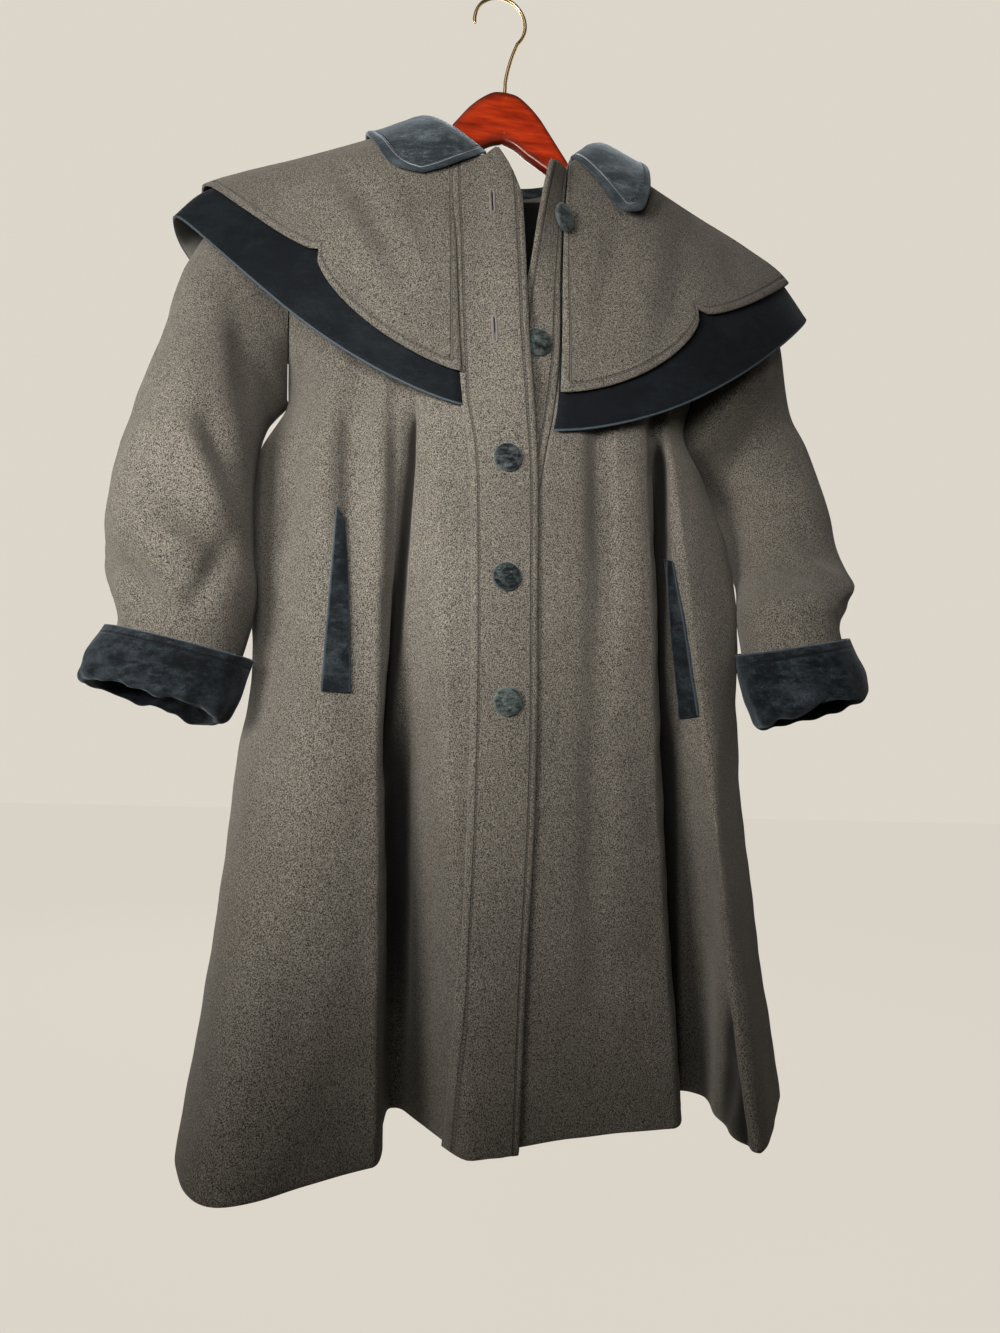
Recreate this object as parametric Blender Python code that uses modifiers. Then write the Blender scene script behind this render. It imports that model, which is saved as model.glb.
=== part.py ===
"""A wool cape coat with velvet trim, hanging on a wooden hanger.

Metres, +Z up, with the front towards -Y and the wearer's right at -X. Heights are drops below
the top of the hanger's wood. Everything hangs from an empty, so that the origin is the place
inside the hook where a rail carries it.
"""

import math
from collections import namedtuple

import bpy
import numpy as np
from mathutils import Vector

# Cloth
WOOL = 0.0025
VELVET = 0.0020
DOUBLED = 0.0042
SEAM = 0.0004

# Coat
HEM = 0.984
NECK_TOP = 0.0830
BACK_NECK_DIP = 0.010
FRONT_NECK_DIP = 0.021
SHOULDER = 0.143
UNDERARM = 0.345
ARMHOLE_TOP_X = 0.2045
ARMHOLE_LOW_X = 0.1955
BODY_FULLNESS = 2.2
PLACKET_LIFT = 0.0010
PLACKET_GAPE = 0.0092
UNDERLAP_GAPE = 0.0220
PLACKET_FLUSH = 0.0030
UNDERLAP_FLUSH = 0.0070
FLUSH_TO = (0.300, 0.365)
HALF_TURN = math.pi
STEP = 0.0002

# Capes, as shares of the way from the neck to the velvet edge
CAPE_FULLNESS = 2.5
EDGE_FOLLOWS = 0.385
CAPE_CLEAR = 0.0080
CAPE_CLEAR_FRONT = 0.0044
CAPE_FRONT_X = (0.045, 0.110)
WOOL_LIFT_NECK = 0.0016
WOOL_LIFT_EDGE = 0.0034
LOBE_FRONT = 0.895
LOBE_SIDE_RIGHT = 0.845
LOBE_SIDE_LEFT = 0.890
LOBE_BACK = 0.885
NOTCH = 0.765
NOTCH_FRONT = 0.084
NOTCH_BACK = 0.391
LOBE_ROUND = 2.0

# Collar
COLLAR_FOOT = 0.0030
COLLAR_END_RIGHT_X = -0.034
COLLAR_END_LEFT_X = 0.046

# Sleeves and cuffs
SLEEVE_OFFSET = 0.014
SLEEVE_FULLNESS = 2.15
WRIST_SHARE = 1.016
CUFF_TOP_INNER = (0.2210, 0.577)
CUFF_TOP_OUTER = (0.3460, 0.552)
CUFF_LOW_INNER = (0.2400, 0.636)
CUFF_LOW_OUTER = (0.3630, 0.605)
CUFF_Y_TOP = -0.078
CUFF_Y_LOW = -0.087
CUFF_DEPTH_SHARE = 0.98

# Pocket welts
WELT_LIFT = 0.0022

# Buttons
BUTTON_RADIUS = 0.0125
BUTTON_RISE = 0.0058
BUTTON_RIM = 0.0022

# Hanger
HANGER_THICKNESS = 0.013
HANGER_ROUND = 0.0025
WIRE_RADIUS = 0.0017
HOOK_RADIUS = 0.026
HOOK_CENTRE_X = -0.008
HOOK_CENTRE_Z = 0.067
HOOK_SEAT = HOOK_CENTRE_Z + HOOK_RADIUS - WIRE_RADIUS

# Sections of the body: half widths to the wearer's right and left, depths of the front and back
Section = namedtuple("Section", "drop half_right half_left front back")
BODY = (
    Section(0.070, 0.059, 0.059, 0.060, 0.030),
    Section(0.100, 0.119, 0.119, 0.084, 0.044),
    Section(0.143, 0.205, 0.205, 0.100, 0.058),
    Section(0.190, 0.226, 0.226, 0.107, 0.068),
    Section(0.260, 0.222, 0.222, 0.111, 0.078),
    Section(0.345, 0.196, 0.196, 0.116, 0.085),
    Section(0.390, 0.218, 0.220, 0.119, 0.088),
    Section(0.450, 0.223, 0.236, 0.122, 0.091),
    Section(0.520, 0.222, 0.251, 0.127, 0.095),
    Section(0.590, 0.215, 0.258, 0.132, 0.098),
    Section(0.700, 0.223, 0.270, 0.137, 0.104),
    Section(0.845, 0.234, 0.294, 0.144, 0.112),
    Section(0.984, 0.249, 0.318, 0.150, 0.122),
)

# Folds of the skirt: places under the cape, half way and at the hem, half widths, and depths inward at
# FOLD_DROPS. A negative depth is a ridge. A fold leans along X as it deepens.
FOLD_DROPS = (0.200, 0.360, 0.660, HEM)
Fold = namedtuple("Fold", "face x_top x_middle x_hem wide_top wide_hem top middle hem lean")
FRONT, BACK = 1, -1
FOLDS = (
    Fold(FRONT, -0.097, -0.078, -0.058, 0.026, 0.040, 0.011, 0.047, 0.104, -0.013),
    Fold(FRONT, -0.130, -0.125, -0.120, 0.020, 0.020, 0.007, 0.000, 0.000, 0.000),
    Fold(FRONT, -0.163, -0.164, -0.165, 0.026, 0.040, -0.008, 0.000, 0.000, 0.000),
    Fold(FRONT, -0.155, -0.157, -0.160, 0.045, 0.050, 0.000, -0.010, 0.000, 0.000),
    Fold(FRONT, 0.077, 0.088, 0.100, 0.020, 0.030, 0.008, 0.002, 0.000, 0.000),
    Fold(FRONT, 0.100, 0.102, 0.105, 0.160, 0.160, 0.000, 0.006, 0.0255, 0.000),
    Fold(FRONT, 0.141, 0.170, 0.215, 0.018, 0.045, 0.015, 0.036, 0.078, 0.001),
    Fold(FRONT, 0.186, 0.216, 0.270, 0.036, 0.044, 0.000, -0.020, -0.084, -0.042),
    Fold(FRONT, 0.190, 0.215, 0.2475, 0.030, 0.0200, 0.000, 0.000, -0.005, -0.020),
    Fold(BACK, -0.085, -0.097, -0.110, 0.030, 0.055, 0.006, 0.026, 0.060, 0.000),
    Fold(BACK, 0.085, 0.107, 0.130, 0.030, 0.055, 0.006, 0.026, 0.060, 0.000),
    Fold(BACK, 0.000, 0.005, 0.010, 0.050, 0.070, 0.000, -0.008, -0.028, 0.000),
)

# Swings of the whole skirt forward, at FOLD_DROPS: the angle, half width and shift along -Y
Swing = namedtuple("Swing", "angle wide middle hem")
SWINGS = (Swing(-1.18, 1.08, 0.038, 0.132),)

# Front edges: X of the placket's two edges, of the underlap's edge and of its seam
Edge = namedtuple("Edge", "drop placket_seam placket_edge underlap_edge underlap_seam")
EDGES = (
    Edge(0.076, -0.0640, -0.0200, 0.0290, 0.0600),
    Edge(0.100, -0.0640, -0.0120, 0.0270, 0.0520),
    Edge(0.125, -0.0635, -0.0080, 0.0240, 0.0430),
    Edge(0.166, -0.0630, -0.0045, 0.0160, 0.0380),
    Edge(0.228, -0.0585, 0.0005, 0.0080, 0.0360),
    Edge(0.308, -0.0530, 0.0065, -0.0010, 0.0375),
    Edge(0.360, -0.0480, 0.0135, -0.0070, 0.0350),
    Edge(0.395, -0.0410, 0.0180, -0.0120, 0.0290),
    Edge(0.526, -0.0338, 0.0220, -0.0200, 0.0150),
    Edge(0.700, -0.0305, 0.0255, -0.0100, 0.0190),
    Edge(0.850, -0.0322, 0.0225, -0.0100, 0.0140),
    Edge(0.984, -0.0310, 0.0215, -0.0110, 0.0120),
)

# Ends of the two bands: place across from seam to edge, and drops of the top and the low end
End = namedtuple("End", "across top low")
PLACKET = (
    End(0.00, 0.134, HEM + 0.001),
    End(0.25, 0.135, HEM + 0.002),
    End(0.52, 0.134, HEM + 0.002),
    End(0.72, 0.1245, HEM + 0.003),
    End(0.87, 0.146, HEM + 0.003),
    End(1.00, 0.172, HEM + 0.004),
)
UNDERLAP = (
    End(0.05, 0.131, HEM),
    End(0.35, 0.131, HEM),
    End(0.68, 0.133, HEM),
    End(1.00, 0.139, HEM),
)

# Rings of the cape: share of the way out, half widths to the wearer's right and left, drops at the
# two sides, at the two front edges and at the back
Ring = namedtuple("Ring", "share half_right half_left side_right side_left front_right front_left back")
CAPE = (
    Ring(0.00, 0.083, 0.083, 0.0735, 0.0735, 0.143, 0.143, 0.088),
    Ring(0.25, 0.136, 0.136, 0.0970, 0.0970, 0.190, 0.190, 0.148),
    Ring(0.50, 0.196, 0.196, 0.1240, 0.1240, 0.241, 0.243, 0.210),
    Ring(0.72, 0.251, 0.254, 0.1465, 0.1470, 0.296, 0.298, 0.268),
    Ring(0.86, 0.283, 0.290, 0.1640, 0.1660, 0.331, 0.335, 0.304),
    Ring(1.00, 0.307, 0.322, 0.1890, 0.2040, 0.367, 0.379, 0.340),
)

# Collar from its right end round the back to its left end: how far it reaches over the cape, the
# height of its stand, how far its edge is lifted, and the turn of its fall towards the front
Fall = namedtuple("Fall", "around reach stand lift turn")
COLLAR = (
    Fall(0.00, 0.285, 0.002, 0.000, -0.24),
    Fall(0.02, 0.325, 0.004, 0.000, -0.22),
    Fall(0.05, 0.342, 0.005, 0.000, -0.15),
    Fall(0.11, 0.312, 0.006, 0.000, -0.04),
    Fall(0.18, 0.258, 0.006, 0.000, 0.00),
    Fall(0.26, 0.212, 0.007, 0.001, 0.00),
    Fall(0.50, 0.215, 0.010, 0.001, 0.00),
    Fall(0.74, 0.185, 0.008, 0.002, 0.00),
    Fall(0.83, 0.188, 0.008, 0.004, 0.00),
    Fall(0.91, 0.243, 0.008, 0.008, 0.00),
    Fall(0.96, 0.328, 0.008, 0.010, 0.00),
    Fall(0.98, 0.358, 0.007, 0.009, 0.00),
    Fall(1.00, 0.315, 0.005, 0.007, 0.00),
)

# Sleeve sections: the underarm point, the outer point, then the middle and half depth along Y
Sleeve = namedtuple("Sleeve", "place inner_x inner_drop outer_x outer_drop y half_depth")
SLEEVE = (
    Sleeve(0, 0.1965, 0.345, 0.2055, 0.143, 0.000, 0.050),
    Sleeve(1, 0.1990, 0.351, 0.2570, 0.168, -0.006, 0.058),
    Sleeve(2, 0.2060, 0.361, 0.2860, 0.214, -0.014, 0.063),
    Sleeve(3, 0.2160, 0.377, 0.3030, 0.276, -0.034, 0.066),
    Sleeve(4, 0.2240, 0.404, 0.3190, 0.345, -0.054, 0.067),
    Sleeve(5, 0.2260, 0.440, 0.3350, 0.415, -0.069, 0.068),
    Sleeve(6, 0.2240, 0.479, 0.3410, 0.480, -0.077, 0.068),
    Sleeve(7, 0.2210, 0.520, 0.3410, 0.522, -0.080, 0.062),
    Sleeve(8, 0.2290, 0.566, 0.3350, 0.556, -0.081, 0.0550),
    Sleeve(9, 0.2410, 0.618, 0.3525, 0.592, -0.084, 0.0555),
)

# Soft dents of the sleeves: side, where each runs from and to as angle and place, width and depth
Dent = namedtuple("Dent", "side turn_start place_start turn_end place_end wide deep")
RIGHT, LEFT = -1, 1
DENTS = (
    Dent(RIGHT, 1.05, 5.3, 2.60, 6.6, 0.40, 0.009),
    Dent(RIGHT, 0.10, 6.4, 1.20, 7.4, 0.35, 0.008),
    Dent(LEFT, 1.30, 5.6, 2.70, 6.7, 0.45, 0.007),
    Dent(LEFT, 0.20, 6.6, 1.00, 7.2, 0.35, 0.006),
)

# How each sleeve and its cuff hang: shares of the width, shifts away from the body, back and down, and
# the tilt of the cuff's mouth towards the front
Hang = namedtuple("Hang", "sleeve_share sleeve_out sleeve_back cuff_share cuff_out cuff_low cuff_tilt")
HANG = {
    RIGHT: Hang(1.03, -0.005, 0.000, 0.97, -0.011, -0.009, 0.14),
    LEFT: Hang(0.95, 0.0246, 0.068, 0.84, 0.005, 0.003, 0.23),
}

# Cuff wall: half width and place along the cuff, from the outer top edge round to the lining
Turn = namedtuple("Turn", "place half along")
CUFF = (
    Turn(0, 0.0640, 0.00),
    Turn(1, 0.0652, 0.45),
    Turn(2, 0.0640, 0.88),
    Turn(3, 0.0605, 1.02),
    Turn(4, 0.0555, 1.06),
    Turn(5, 0.0508, 1.00),
    Turn(6, 0.0488, 0.72),
    Turn(7, 0.0480, 0.36),
)

# Welts: X and drop of the four corners, top outer, top inner, low outer, low inner
Welt = namedtuple("Welt", "name outer_top inner_top outer_low inner_low")
WELTS = (
    Welt("welt_right", (-0.1500, 0.456), (-0.1415, 0.466), (-0.1555, 0.614), (-0.1325, 0.614)),
    Welt("welt_left", (0.1640, 0.478), (0.1560, 0.474), (0.1910, 0.620), (0.1775, 0.623)),
)

# Buttons on the underlap and the placket: X, drop and stand off the body's surface
Button = namedtuple("Button", "name x drop stand turn")
BUTTONS = (
    Button("button_1", 0.0325, 0.189, 0.0170, 0.60),
    Button("button_2", 0.0150, 0.301, 0.0080, 0.00),
    Button("button_3", -0.0080, 0.406, 0.0060, 0.00),
    Button("button_4", -0.0060, 0.510, 0.0060, 0.00),
    Button("button_5", -0.0020, 0.616, 0.0060, 0.00),
)

# Hanger outline: half profiles of the top and the underside
Outline = namedtuple("Outline", "x top under")
HANGER = (
    Outline(0.000, 0.0055, 0.0555),
    Outline(0.012, 0.0073, 0.0595),
    Outline(0.024, 0.0150, 0.0672),
    Outline(0.036, 0.0265, 0.0735),
    Outline(0.046, 0.0395, 0.0790),
    Outline(0.056, 0.0530, 0.0845),
    Outline(0.067, 0.0680, 0.0910),
    Outline(0.076, 0.0835, 0.1005),
    Outline(0.088, 0.0975, 0.1110),
    Outline(0.105, 0.1075, 0.1230),
    Outline(0.134, 0.1210, 0.1380),
    Outline(0.175, 0.1400, 0.1580),
    Outline(0.192, 0.1490, 0.1660),
)


def curve_through(at, knots, values):
    """A smooth curve through values at knots: cubic spans whose slopes are averages of chords."""
    knots = np.asarray(knots, float)
    values = np.asarray(values, float)
    chords = np.diff(values) / np.diff(knots)
    slopes = np.concatenate((chords[:1], (chords[1:] + chords[:-1]) / 2, chords[-1:]))
    at = np.clip(at, knots[0], knots[-1])
    span = np.clip(np.searchsorted(knots, at, side="right") - 1, 0, len(chords) - 1)
    gap = knots[span + 1] - knots[span]
    s = (at - knots[span]) / gap
    ends = values[span] * (1 + 2 * s) * (1 - s) ** 2 + values[span + 1] * s * s * (3 - 2 * s)
    return ends + gap * (slopes[span] * s * (1 - s) ** 2 - slopes[span + 1] * s * s * (1 - s))


def read(table, name, at):
    """A column of a table, read smoothly at a value of the table's first column."""
    knots = [row[0] for row in table]
    return curve_through(at, knots, [getattr(row, name) for row in table])


def smooth_step(at, start, end):
    """A rise from nought to one between two places."""
    s = np.clip((at - start) / (end - start), 0.0, 1.0)
    return s * s * (3 - 2 * s)


def oval(theta, half, depth, fullness):
    """Plan of a section, theta turning from centre front through the wearer's left side."""
    sine = np.sin(theta)
    cosine = np.cos(theta)
    x = half * np.sign(sine) * np.abs(sine) ** (2 / fullness)
    y = -depth * np.sign(cosine) * np.abs(cosine) ** (2 / fullness)
    return x, y


def body_sizes(sine, cosine, drop):
    """Half width and depth of the body's section towards a side and a face."""
    half = np.where(sine < 0, read(BODY, "half_right", drop), read(BODY, "half_left", drop))
    depth = np.where(cosine > 0, read(BODY, "front", drop), read(BODY, "back", drop))
    return half, depth


def body_surface(theta, drop):
    """The coat's outer surface: oval sections, pushed in and out along Y by the folds."""
    theta, drop = np.broadcast_arrays(theta, drop)
    half, depth = body_sizes(np.sin(theta), np.cos(theta), drop)
    x, y = oval(theta, half, depth, BODY_FULLNESS)
    face = np.where(np.cos(theta) > 0, FRONT, BACK)
    flat_x = x
    for fold in FOLDS:
        ends = (FOLD_DROPS[1], HEM)
        centre = np.interp(drop, FOLD_DROPS[1:], (fold.x_top, fold.x_middle, fold.x_hem))
        wide = np.interp(drop, ends, (fold.wide_top, fold.wide_hem))
        deep = curve_through(drop, FOLD_DROPS, (0.0, fold.top, fold.middle, fold.hem))
        off = np.clip((flat_x - centre) / wide, -1.0, 1.0)
        push = np.where(face == fold.face, 0.5 + 0.5 * np.cos(HALF_TURN * off), 0.0)
        share = np.clip(deep / fold.hem, 0.0, 1.0) if fold.hem else 0.0
        x = x + push * share * fold.lean
        y = y + push * deep * face
    for swing in SWINGS:
        off = np.mod(theta - swing.angle + HALF_TURN, 2 * HALF_TURN) - HALF_TURN
        push = 0.5 + 0.5 * np.cos(HALF_TURN * np.clip(off / swing.wide, -1.0, 1.0))
        y = y - push * curve_through(drop, FOLD_DROPS, (0.0, 0.0, swing.middle, swing.hem))
    return np.stack((x, y, -drop), axis=-1)


def body_reach(x, drop, cosine):
    """Distance from the mid plane to the unfolded body at an X, nought beyond its side."""
    half, depth = body_sizes(x, cosine, drop)
    share = np.clip(np.abs(x) / half, 0.0, 1.0)
    return depth * (1 - share**BODY_FULLNESS) ** (1 / BODY_FULLNESS)


def front_angle(x, drop):
    """Angle on the front of the body's section where its plan reaches an X."""
    half, _ = body_sizes(np.asarray(x), np.ones_like(drop), drop)
    return np.sign(x) * np.arcsin(np.clip(np.abs(x) / half, 0.0, 1.0) ** (BODY_FULLNESS / 2))


def side_angle(drop):
    """Angle from a face's middle to its seam: the shoulder, the armhole, then the side seam."""
    drop = np.asarray(drop, float)
    armhole = np.interp(drop, (SHOULDER, UNDERARM), (ARMHOLE_TOP_X, ARMHOLE_LOW_X)) - SEAM
    cut = front_angle(armhole, drop)
    seam = np.arccos((SEAM / read(BODY, "back", drop)) ** (BODY_FULLNESS / 2))
    open_here = (drop > SHOULDER + 1e-6) & (drop < UNDERARM - 1e-6)
    return np.where(open_here, np.minimum(cut, seam), seam)


def lifted(surface, u, v, lift, turn=1):
    """Points of a surface moved along its normal."""
    u, v = np.broadcast_arrays(np.asarray(u, float), np.asarray(v, float))
    along = surface(u + STEP, v) - surface(u - STEP, v)
    down = surface(u, v + STEP) - surface(u, v - STEP)
    normal = np.cross(down, along) * turn
    normal /= np.linalg.norm(normal, axis=-1, keepdims=True)
    return surface(u, v) + normal * np.broadcast_to(lift, u.shape)[..., None]


def even_columns(surface, start, end, row, count):
    """Angles between two ends of a row, evenly spaced along the folded cloth."""
    dense = np.linspace(start, end, 500)
    points = surface(dense, row)
    steps = np.linalg.norm(np.diff(points, axis=0), axis=1)
    length = np.concatenate(([0.0], np.cumsum(steps)))
    return np.interp(np.linspace(0.0, length[-1], count), length, dense)


def cloth(name, outer, inner, material, ring=False):
    """A wall between two grids of points, closed along its edges; a ring joins its columns."""
    rows, columns = outer.shape[:2]
    count = rows * columns
    number = np.arange(count).reshape(rows, columns)
    if ring:
        number = np.concatenate((number, number[:, :1]), axis=1)
    a, b, c, d = number[:-1, :-1], number[:-1, 1:], number[1:, 1:], number[1:, :-1]
    face = np.stack((a, b, c, d), axis=-1).reshape(-1, 4)
    lining = face[:, ::-1] + count
    borders = [number[0], number[-1][::-1]]
    if not ring:
        borders += [number[:, -1], number[::-1, 0]]
    rims = []
    for border in borders:
        near, far = border[:-1], border[1:]
        rims.append(np.stack((far, near, near + count, far + count), axis=-1))
    faces = np.concatenate([face, lining] + rims)
    points = np.concatenate((outer.reshape(-1, 3), inner.reshape(-1, 3)))
    mesh = bpy.data.meshes.new(name)
    mesh.from_pydata(points.tolist(), [], faces.tolist())
    if signed_volume(mesh) < 0:
        mesh.flip_normals()
    return piece(name, mesh, material)


def signed_volume(mesh):
    """Volume of a closed mesh, negative where its faces look inward."""
    mesh.calc_loop_triangles()
    total = 0.0
    for triangle in mesh.loop_triangles:
        p, q, r = (mesh.vertices[i].co for i in triangle.vertices)
        total += p.dot(q.cross(r)) / 6
    return total


def piece(name, data, material):
    """An object in the coat's collection, hung from the hook."""
    item = bpy.data.objects.new(name, data)
    data.materials.append(material)
    coat.objects.link(item)
    item.parent = seat
    return item


def finish(name, colour, roughness, metallic=0.0):
    """A plain material."""
    made = bpy.data.materials.new(name)
    made.use_nodes = True
    shader = made.node_tree.nodes["Principled BSDF"]
    shader.inputs["Base Color"].default_value = (*colour, 1.0)
    shader.inputs["Roughness"].default_value = roughness
    shader.inputs["Metallic"].default_value = metallic
    return made


def front_panel(name, side, seam_column, material):
    """One front, from the band's seam round to the side, with its pleats and a sloping neckline."""
    drops = np.concatenate(
        (
            np.linspace(NECK_TOP, SHOULDER, 5),
            np.linspace(SHOULDER, UNDERARM, 6)[1:],
            np.linspace(UNDERARM, HEM, 12)[1:],
        )
    )
    theta, grid = [], []
    for drop in drops:
        fade = np.clip((SHOULDER - drop) / (SHOULDER - NECK_TOP), 0.0, 1.0)
        rows = drop + FRONT_NECK_DIP * fade * np.linspace(1.0, 0.0, 22) ** 1.5
        start = front_angle(read(EDGES, seam_column, rows[0]) + side * SEAM, rows[0])
        end = side * side_angle(drop)
        theta.append(even_columns(body_surface, start, end, drop, 22))
        grid.append(rows)
    theta, grid = np.array(theta), np.array(grid)
    outer = body_surface(theta, grid)
    cloth(name, outer, lifted(body_surface, theta, grid, -WOOL), material)


def back_panel(name, material):
    """The whole back, its top row dipping to the back neck."""
    drops = np.concatenate(
        (
            np.linspace(NECK_TOP, SHOULDER, 4),
            np.linspace(SHOULDER, UNDERARM, 6)[1:],
            np.linspace(UNDERARM, HEM, 9)[1:],
        )
    )
    theta, grid = [], []
    for drop in drops:
        edge = side_angle(drop)
        row = even_columns(body_surface, HALF_TURN - edge, HALF_TURN + edge, drop, 28)
        fade = np.clip((SHOULDER - drop) / (SHOULDER - NECK_TOP), 0.0, 1.0)
        dip = BACK_NECK_DIP * fade * np.cos(row - HALF_TURN) ** 2
        theta.append(row)
        grid.append(drop + dip)
    theta, grid = np.array(theta), np.array(grid)
    outer = body_surface(theta, grid)
    cloth(name, outer, lifted(body_surface, theta, grid, -WOOL), material)


def placket_surface(across, drop):
    """The buttonhole band: the front's surface between its edges, level with the capes above."""
    x = read(EDGES, "placket_seam", drop) * (1 - across) + read(EDGES, "placket_edge", drop) * across
    points = body_surface(front_angle(x, drop), drop)
    stand = PLACKET_GAPE * (1 - smooth_step(drop, 0.335, 0.395)) * smooth_step(across, 0.3, 0.95)
    points[..., 1] -= stand + PLACKET_FLUSH * (1 - smooth_step(drop, *FLUSH_TO))
    return points


def underlap_surface(across, drop):
    """The button band: the front's surface from its seam to its edge, which stands out at the top."""
    seam = read(EDGES, "underlap_seam", drop)
    x = seam * (1 - across) + read(EDGES, "underlap_edge", drop) * across
    points = body_surface(front_angle(x, drop), drop)
    stand = UNDERLAP_GAPE * (1 - smooth_step(drop, 0.13, 0.29)) * np.abs(across) ** 1.3
    points[..., 1] -= stand + UNDERLAP_FLUSH * (1 - smooth_step(drop, *FLUSH_TO))
    return points


def band(name, surface, ends, inner_lift, outer_lift, turn, material):
    """A doubled strip over a front, from its own top to its own end at each place across."""
    across, top, low = np.array(ends).T
    share = np.linspace(0.0, 1.0, 21)[:, None]
    drop = top * (1 - share) + low * share
    across = np.broadcast_to(across, drop.shape)
    outer = lifted(surface, across, drop, outer_lift, turn)
    inner = lifted(surface, across, drop, inner_lift, turn)
    cloth(name, outer, inner, material)


def cape_size(name, right, share):
    """A size of the cape's rings on the wearer's right or left."""
    return np.where(right, read(CAPE, name + "_right", share), read(CAPE, name + "_left", share))


def cape_point(phi, share):
    """The lower cape: rings from the neck to the edge, laid over the body's front and back."""
    sine, cosine = np.sin(phi), np.cos(phi)
    right = sine < 0
    half = cape_size("half", right, share)
    side = cape_size("side", right, share)
    low = np.where(cosine > 0, cape_size("front", right, share), read(CAPE, "back", share))
    drop = side + (low - side) * (1 - np.abs(sine) ** (4 / CAPE_FULLNESS))
    depth = np.where(cosine > 0, read(BODY, "front", low), read(BODY, "back", low))
    x, y = oval(phi, half, depth, CAPE_FULLNESS)
    near = np.where(cosine > 0, 1 - smooth_step(np.abs(x), *CAPE_FRONT_X), 0.0)
    clear = CAPE_CLEAR + (CAPE_CLEAR_FRONT - CAPE_CLEAR) * near
    own = np.abs(y) + clear * np.minimum(1.0, np.abs(y) / 0.02)
    reach = body_reach(x, drop, cosine)
    lying = reach + clear * np.minimum(1.0, reach / 0.02)
    blend = 0.25 * np.minimum(own + lying, 0.016)
    y = 0.5 * (own + lying + np.sqrt((own - lying) ** 2 + blend**2) - blend)
    return np.stack((x, -np.sign(cosine) * y, -drop), axis=-1)


def cape_angle(x, share):
    """Angle of a cape ring where it reaches an X on the front."""
    half = cape_size("half", x < 0, share)
    return np.sign(x) * np.arcsin(np.clip(np.abs(x) / half, 0.0, 0.999) ** (CAPE_FULLNESS / 2))


def cape_edge(seam, share):
    """X of a cape's front edge, which follows a band's seam as far as the wool cape goes."""
    right = seam == "placket_seam"
    low, side = cape_size("front", right, share), cape_size("side", right, share)
    x = read(EDGES, seam, np.minimum(low, EDGE_FOLLOWS))
    drop = side + (low - side) * (1 - (x / cape_size("half", right, share)) ** 2)
    return read(EDGES, seam, np.minimum(drop, EDGE_FOLLOWS))


def cape_surface(around, share):
    """The lower cape from the placket's seam (0) round the back to the underlap's seam (1)."""
    start = -cape_angle(cape_edge("placket_seam", share) - 3 * SEAM, share)
    end = cape_angle(cape_edge("underlap_seam", share) + 3 * SEAM, share)
    return cape_point(-start - (2 * HALF_TURN - start - end) * around, share)


def lobes(around):
    """Scalloped edge of the upper cape: round lobes that meet at notches."""
    half_way = np.minimum(around, 1 - around)
    knots = (0.0, NOTCH_FRONT, NOTCH_BACK)
    centres = (0.0, (NOTCH_FRONT + NOTCH_BACK) / 2, 0.5)
    halves = (NOTCH_FRONT, (NOTCH_BACK - NOTCH_FRONT) / 2, 0.5 - NOTCH_BACK)
    lobe = np.clip(np.searchsorted(knots, half_way, side="right") - 1, 0, 2)
    off = np.abs(half_way - np.take(centres, lobe)) / np.take(halves, lobe)
    beside = np.where(around < 0.5, LOBE_SIDE_RIGHT, LOBE_SIDE_LEFT)
    reach = np.choose(lobe, (LOBE_FRONT, beside, LOBE_BACK))
    return NOTCH + (reach - NOTCH) * (1 - np.clip(off, 0, 1) ** LOBE_ROUND) ** (1 / LOBE_ROUND)


def cape_columns():
    """Places round the cape, closer together at the shoulders and set on the notches."""
    stops = (0.0, NOTCH_FRONT, NOTCH_BACK, 1 - NOTCH_BACK, 1 - NOTCH_FRONT, 1.0)
    counts = (5, 14, 9, 14, 5)
    parts = [np.linspace(a, b, n + 1)[:-1] for a, b, n in zip(stops, stops[1:], counts)]
    return np.concatenate(parts + [[1.0]])


def cape_layers(velvet, wool):
    """The velvet cape and, a little above it, the scalloped wool cape."""
    around = cape_columns()
    share = np.array((0.0, 0.06, 0.13, 0.21, 0.31, 0.43, 0.57, 0.72, 0.87, 1.0))[:, None]
    grid = np.broadcast_to(around, (len(share), len(around)))
    outer = lifted(cape_surface, grid, share, 0.0, -1)
    cloth("cape_velvet", outer, lifted(cape_surface, grid, share, -VELVET, -1), velvet)
    share = share * lobes(around)
    low = WOOL_LIFT_NECK + (WOOL_LIFT_EDGE - WOOL_LIFT_NECK) * share
    inner = lifted(cape_surface, grid, share, low, -1)
    cloth("cape_wool", lifted(cape_surface, grid, share, low + WOOL, -1), inner, wool)


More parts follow.
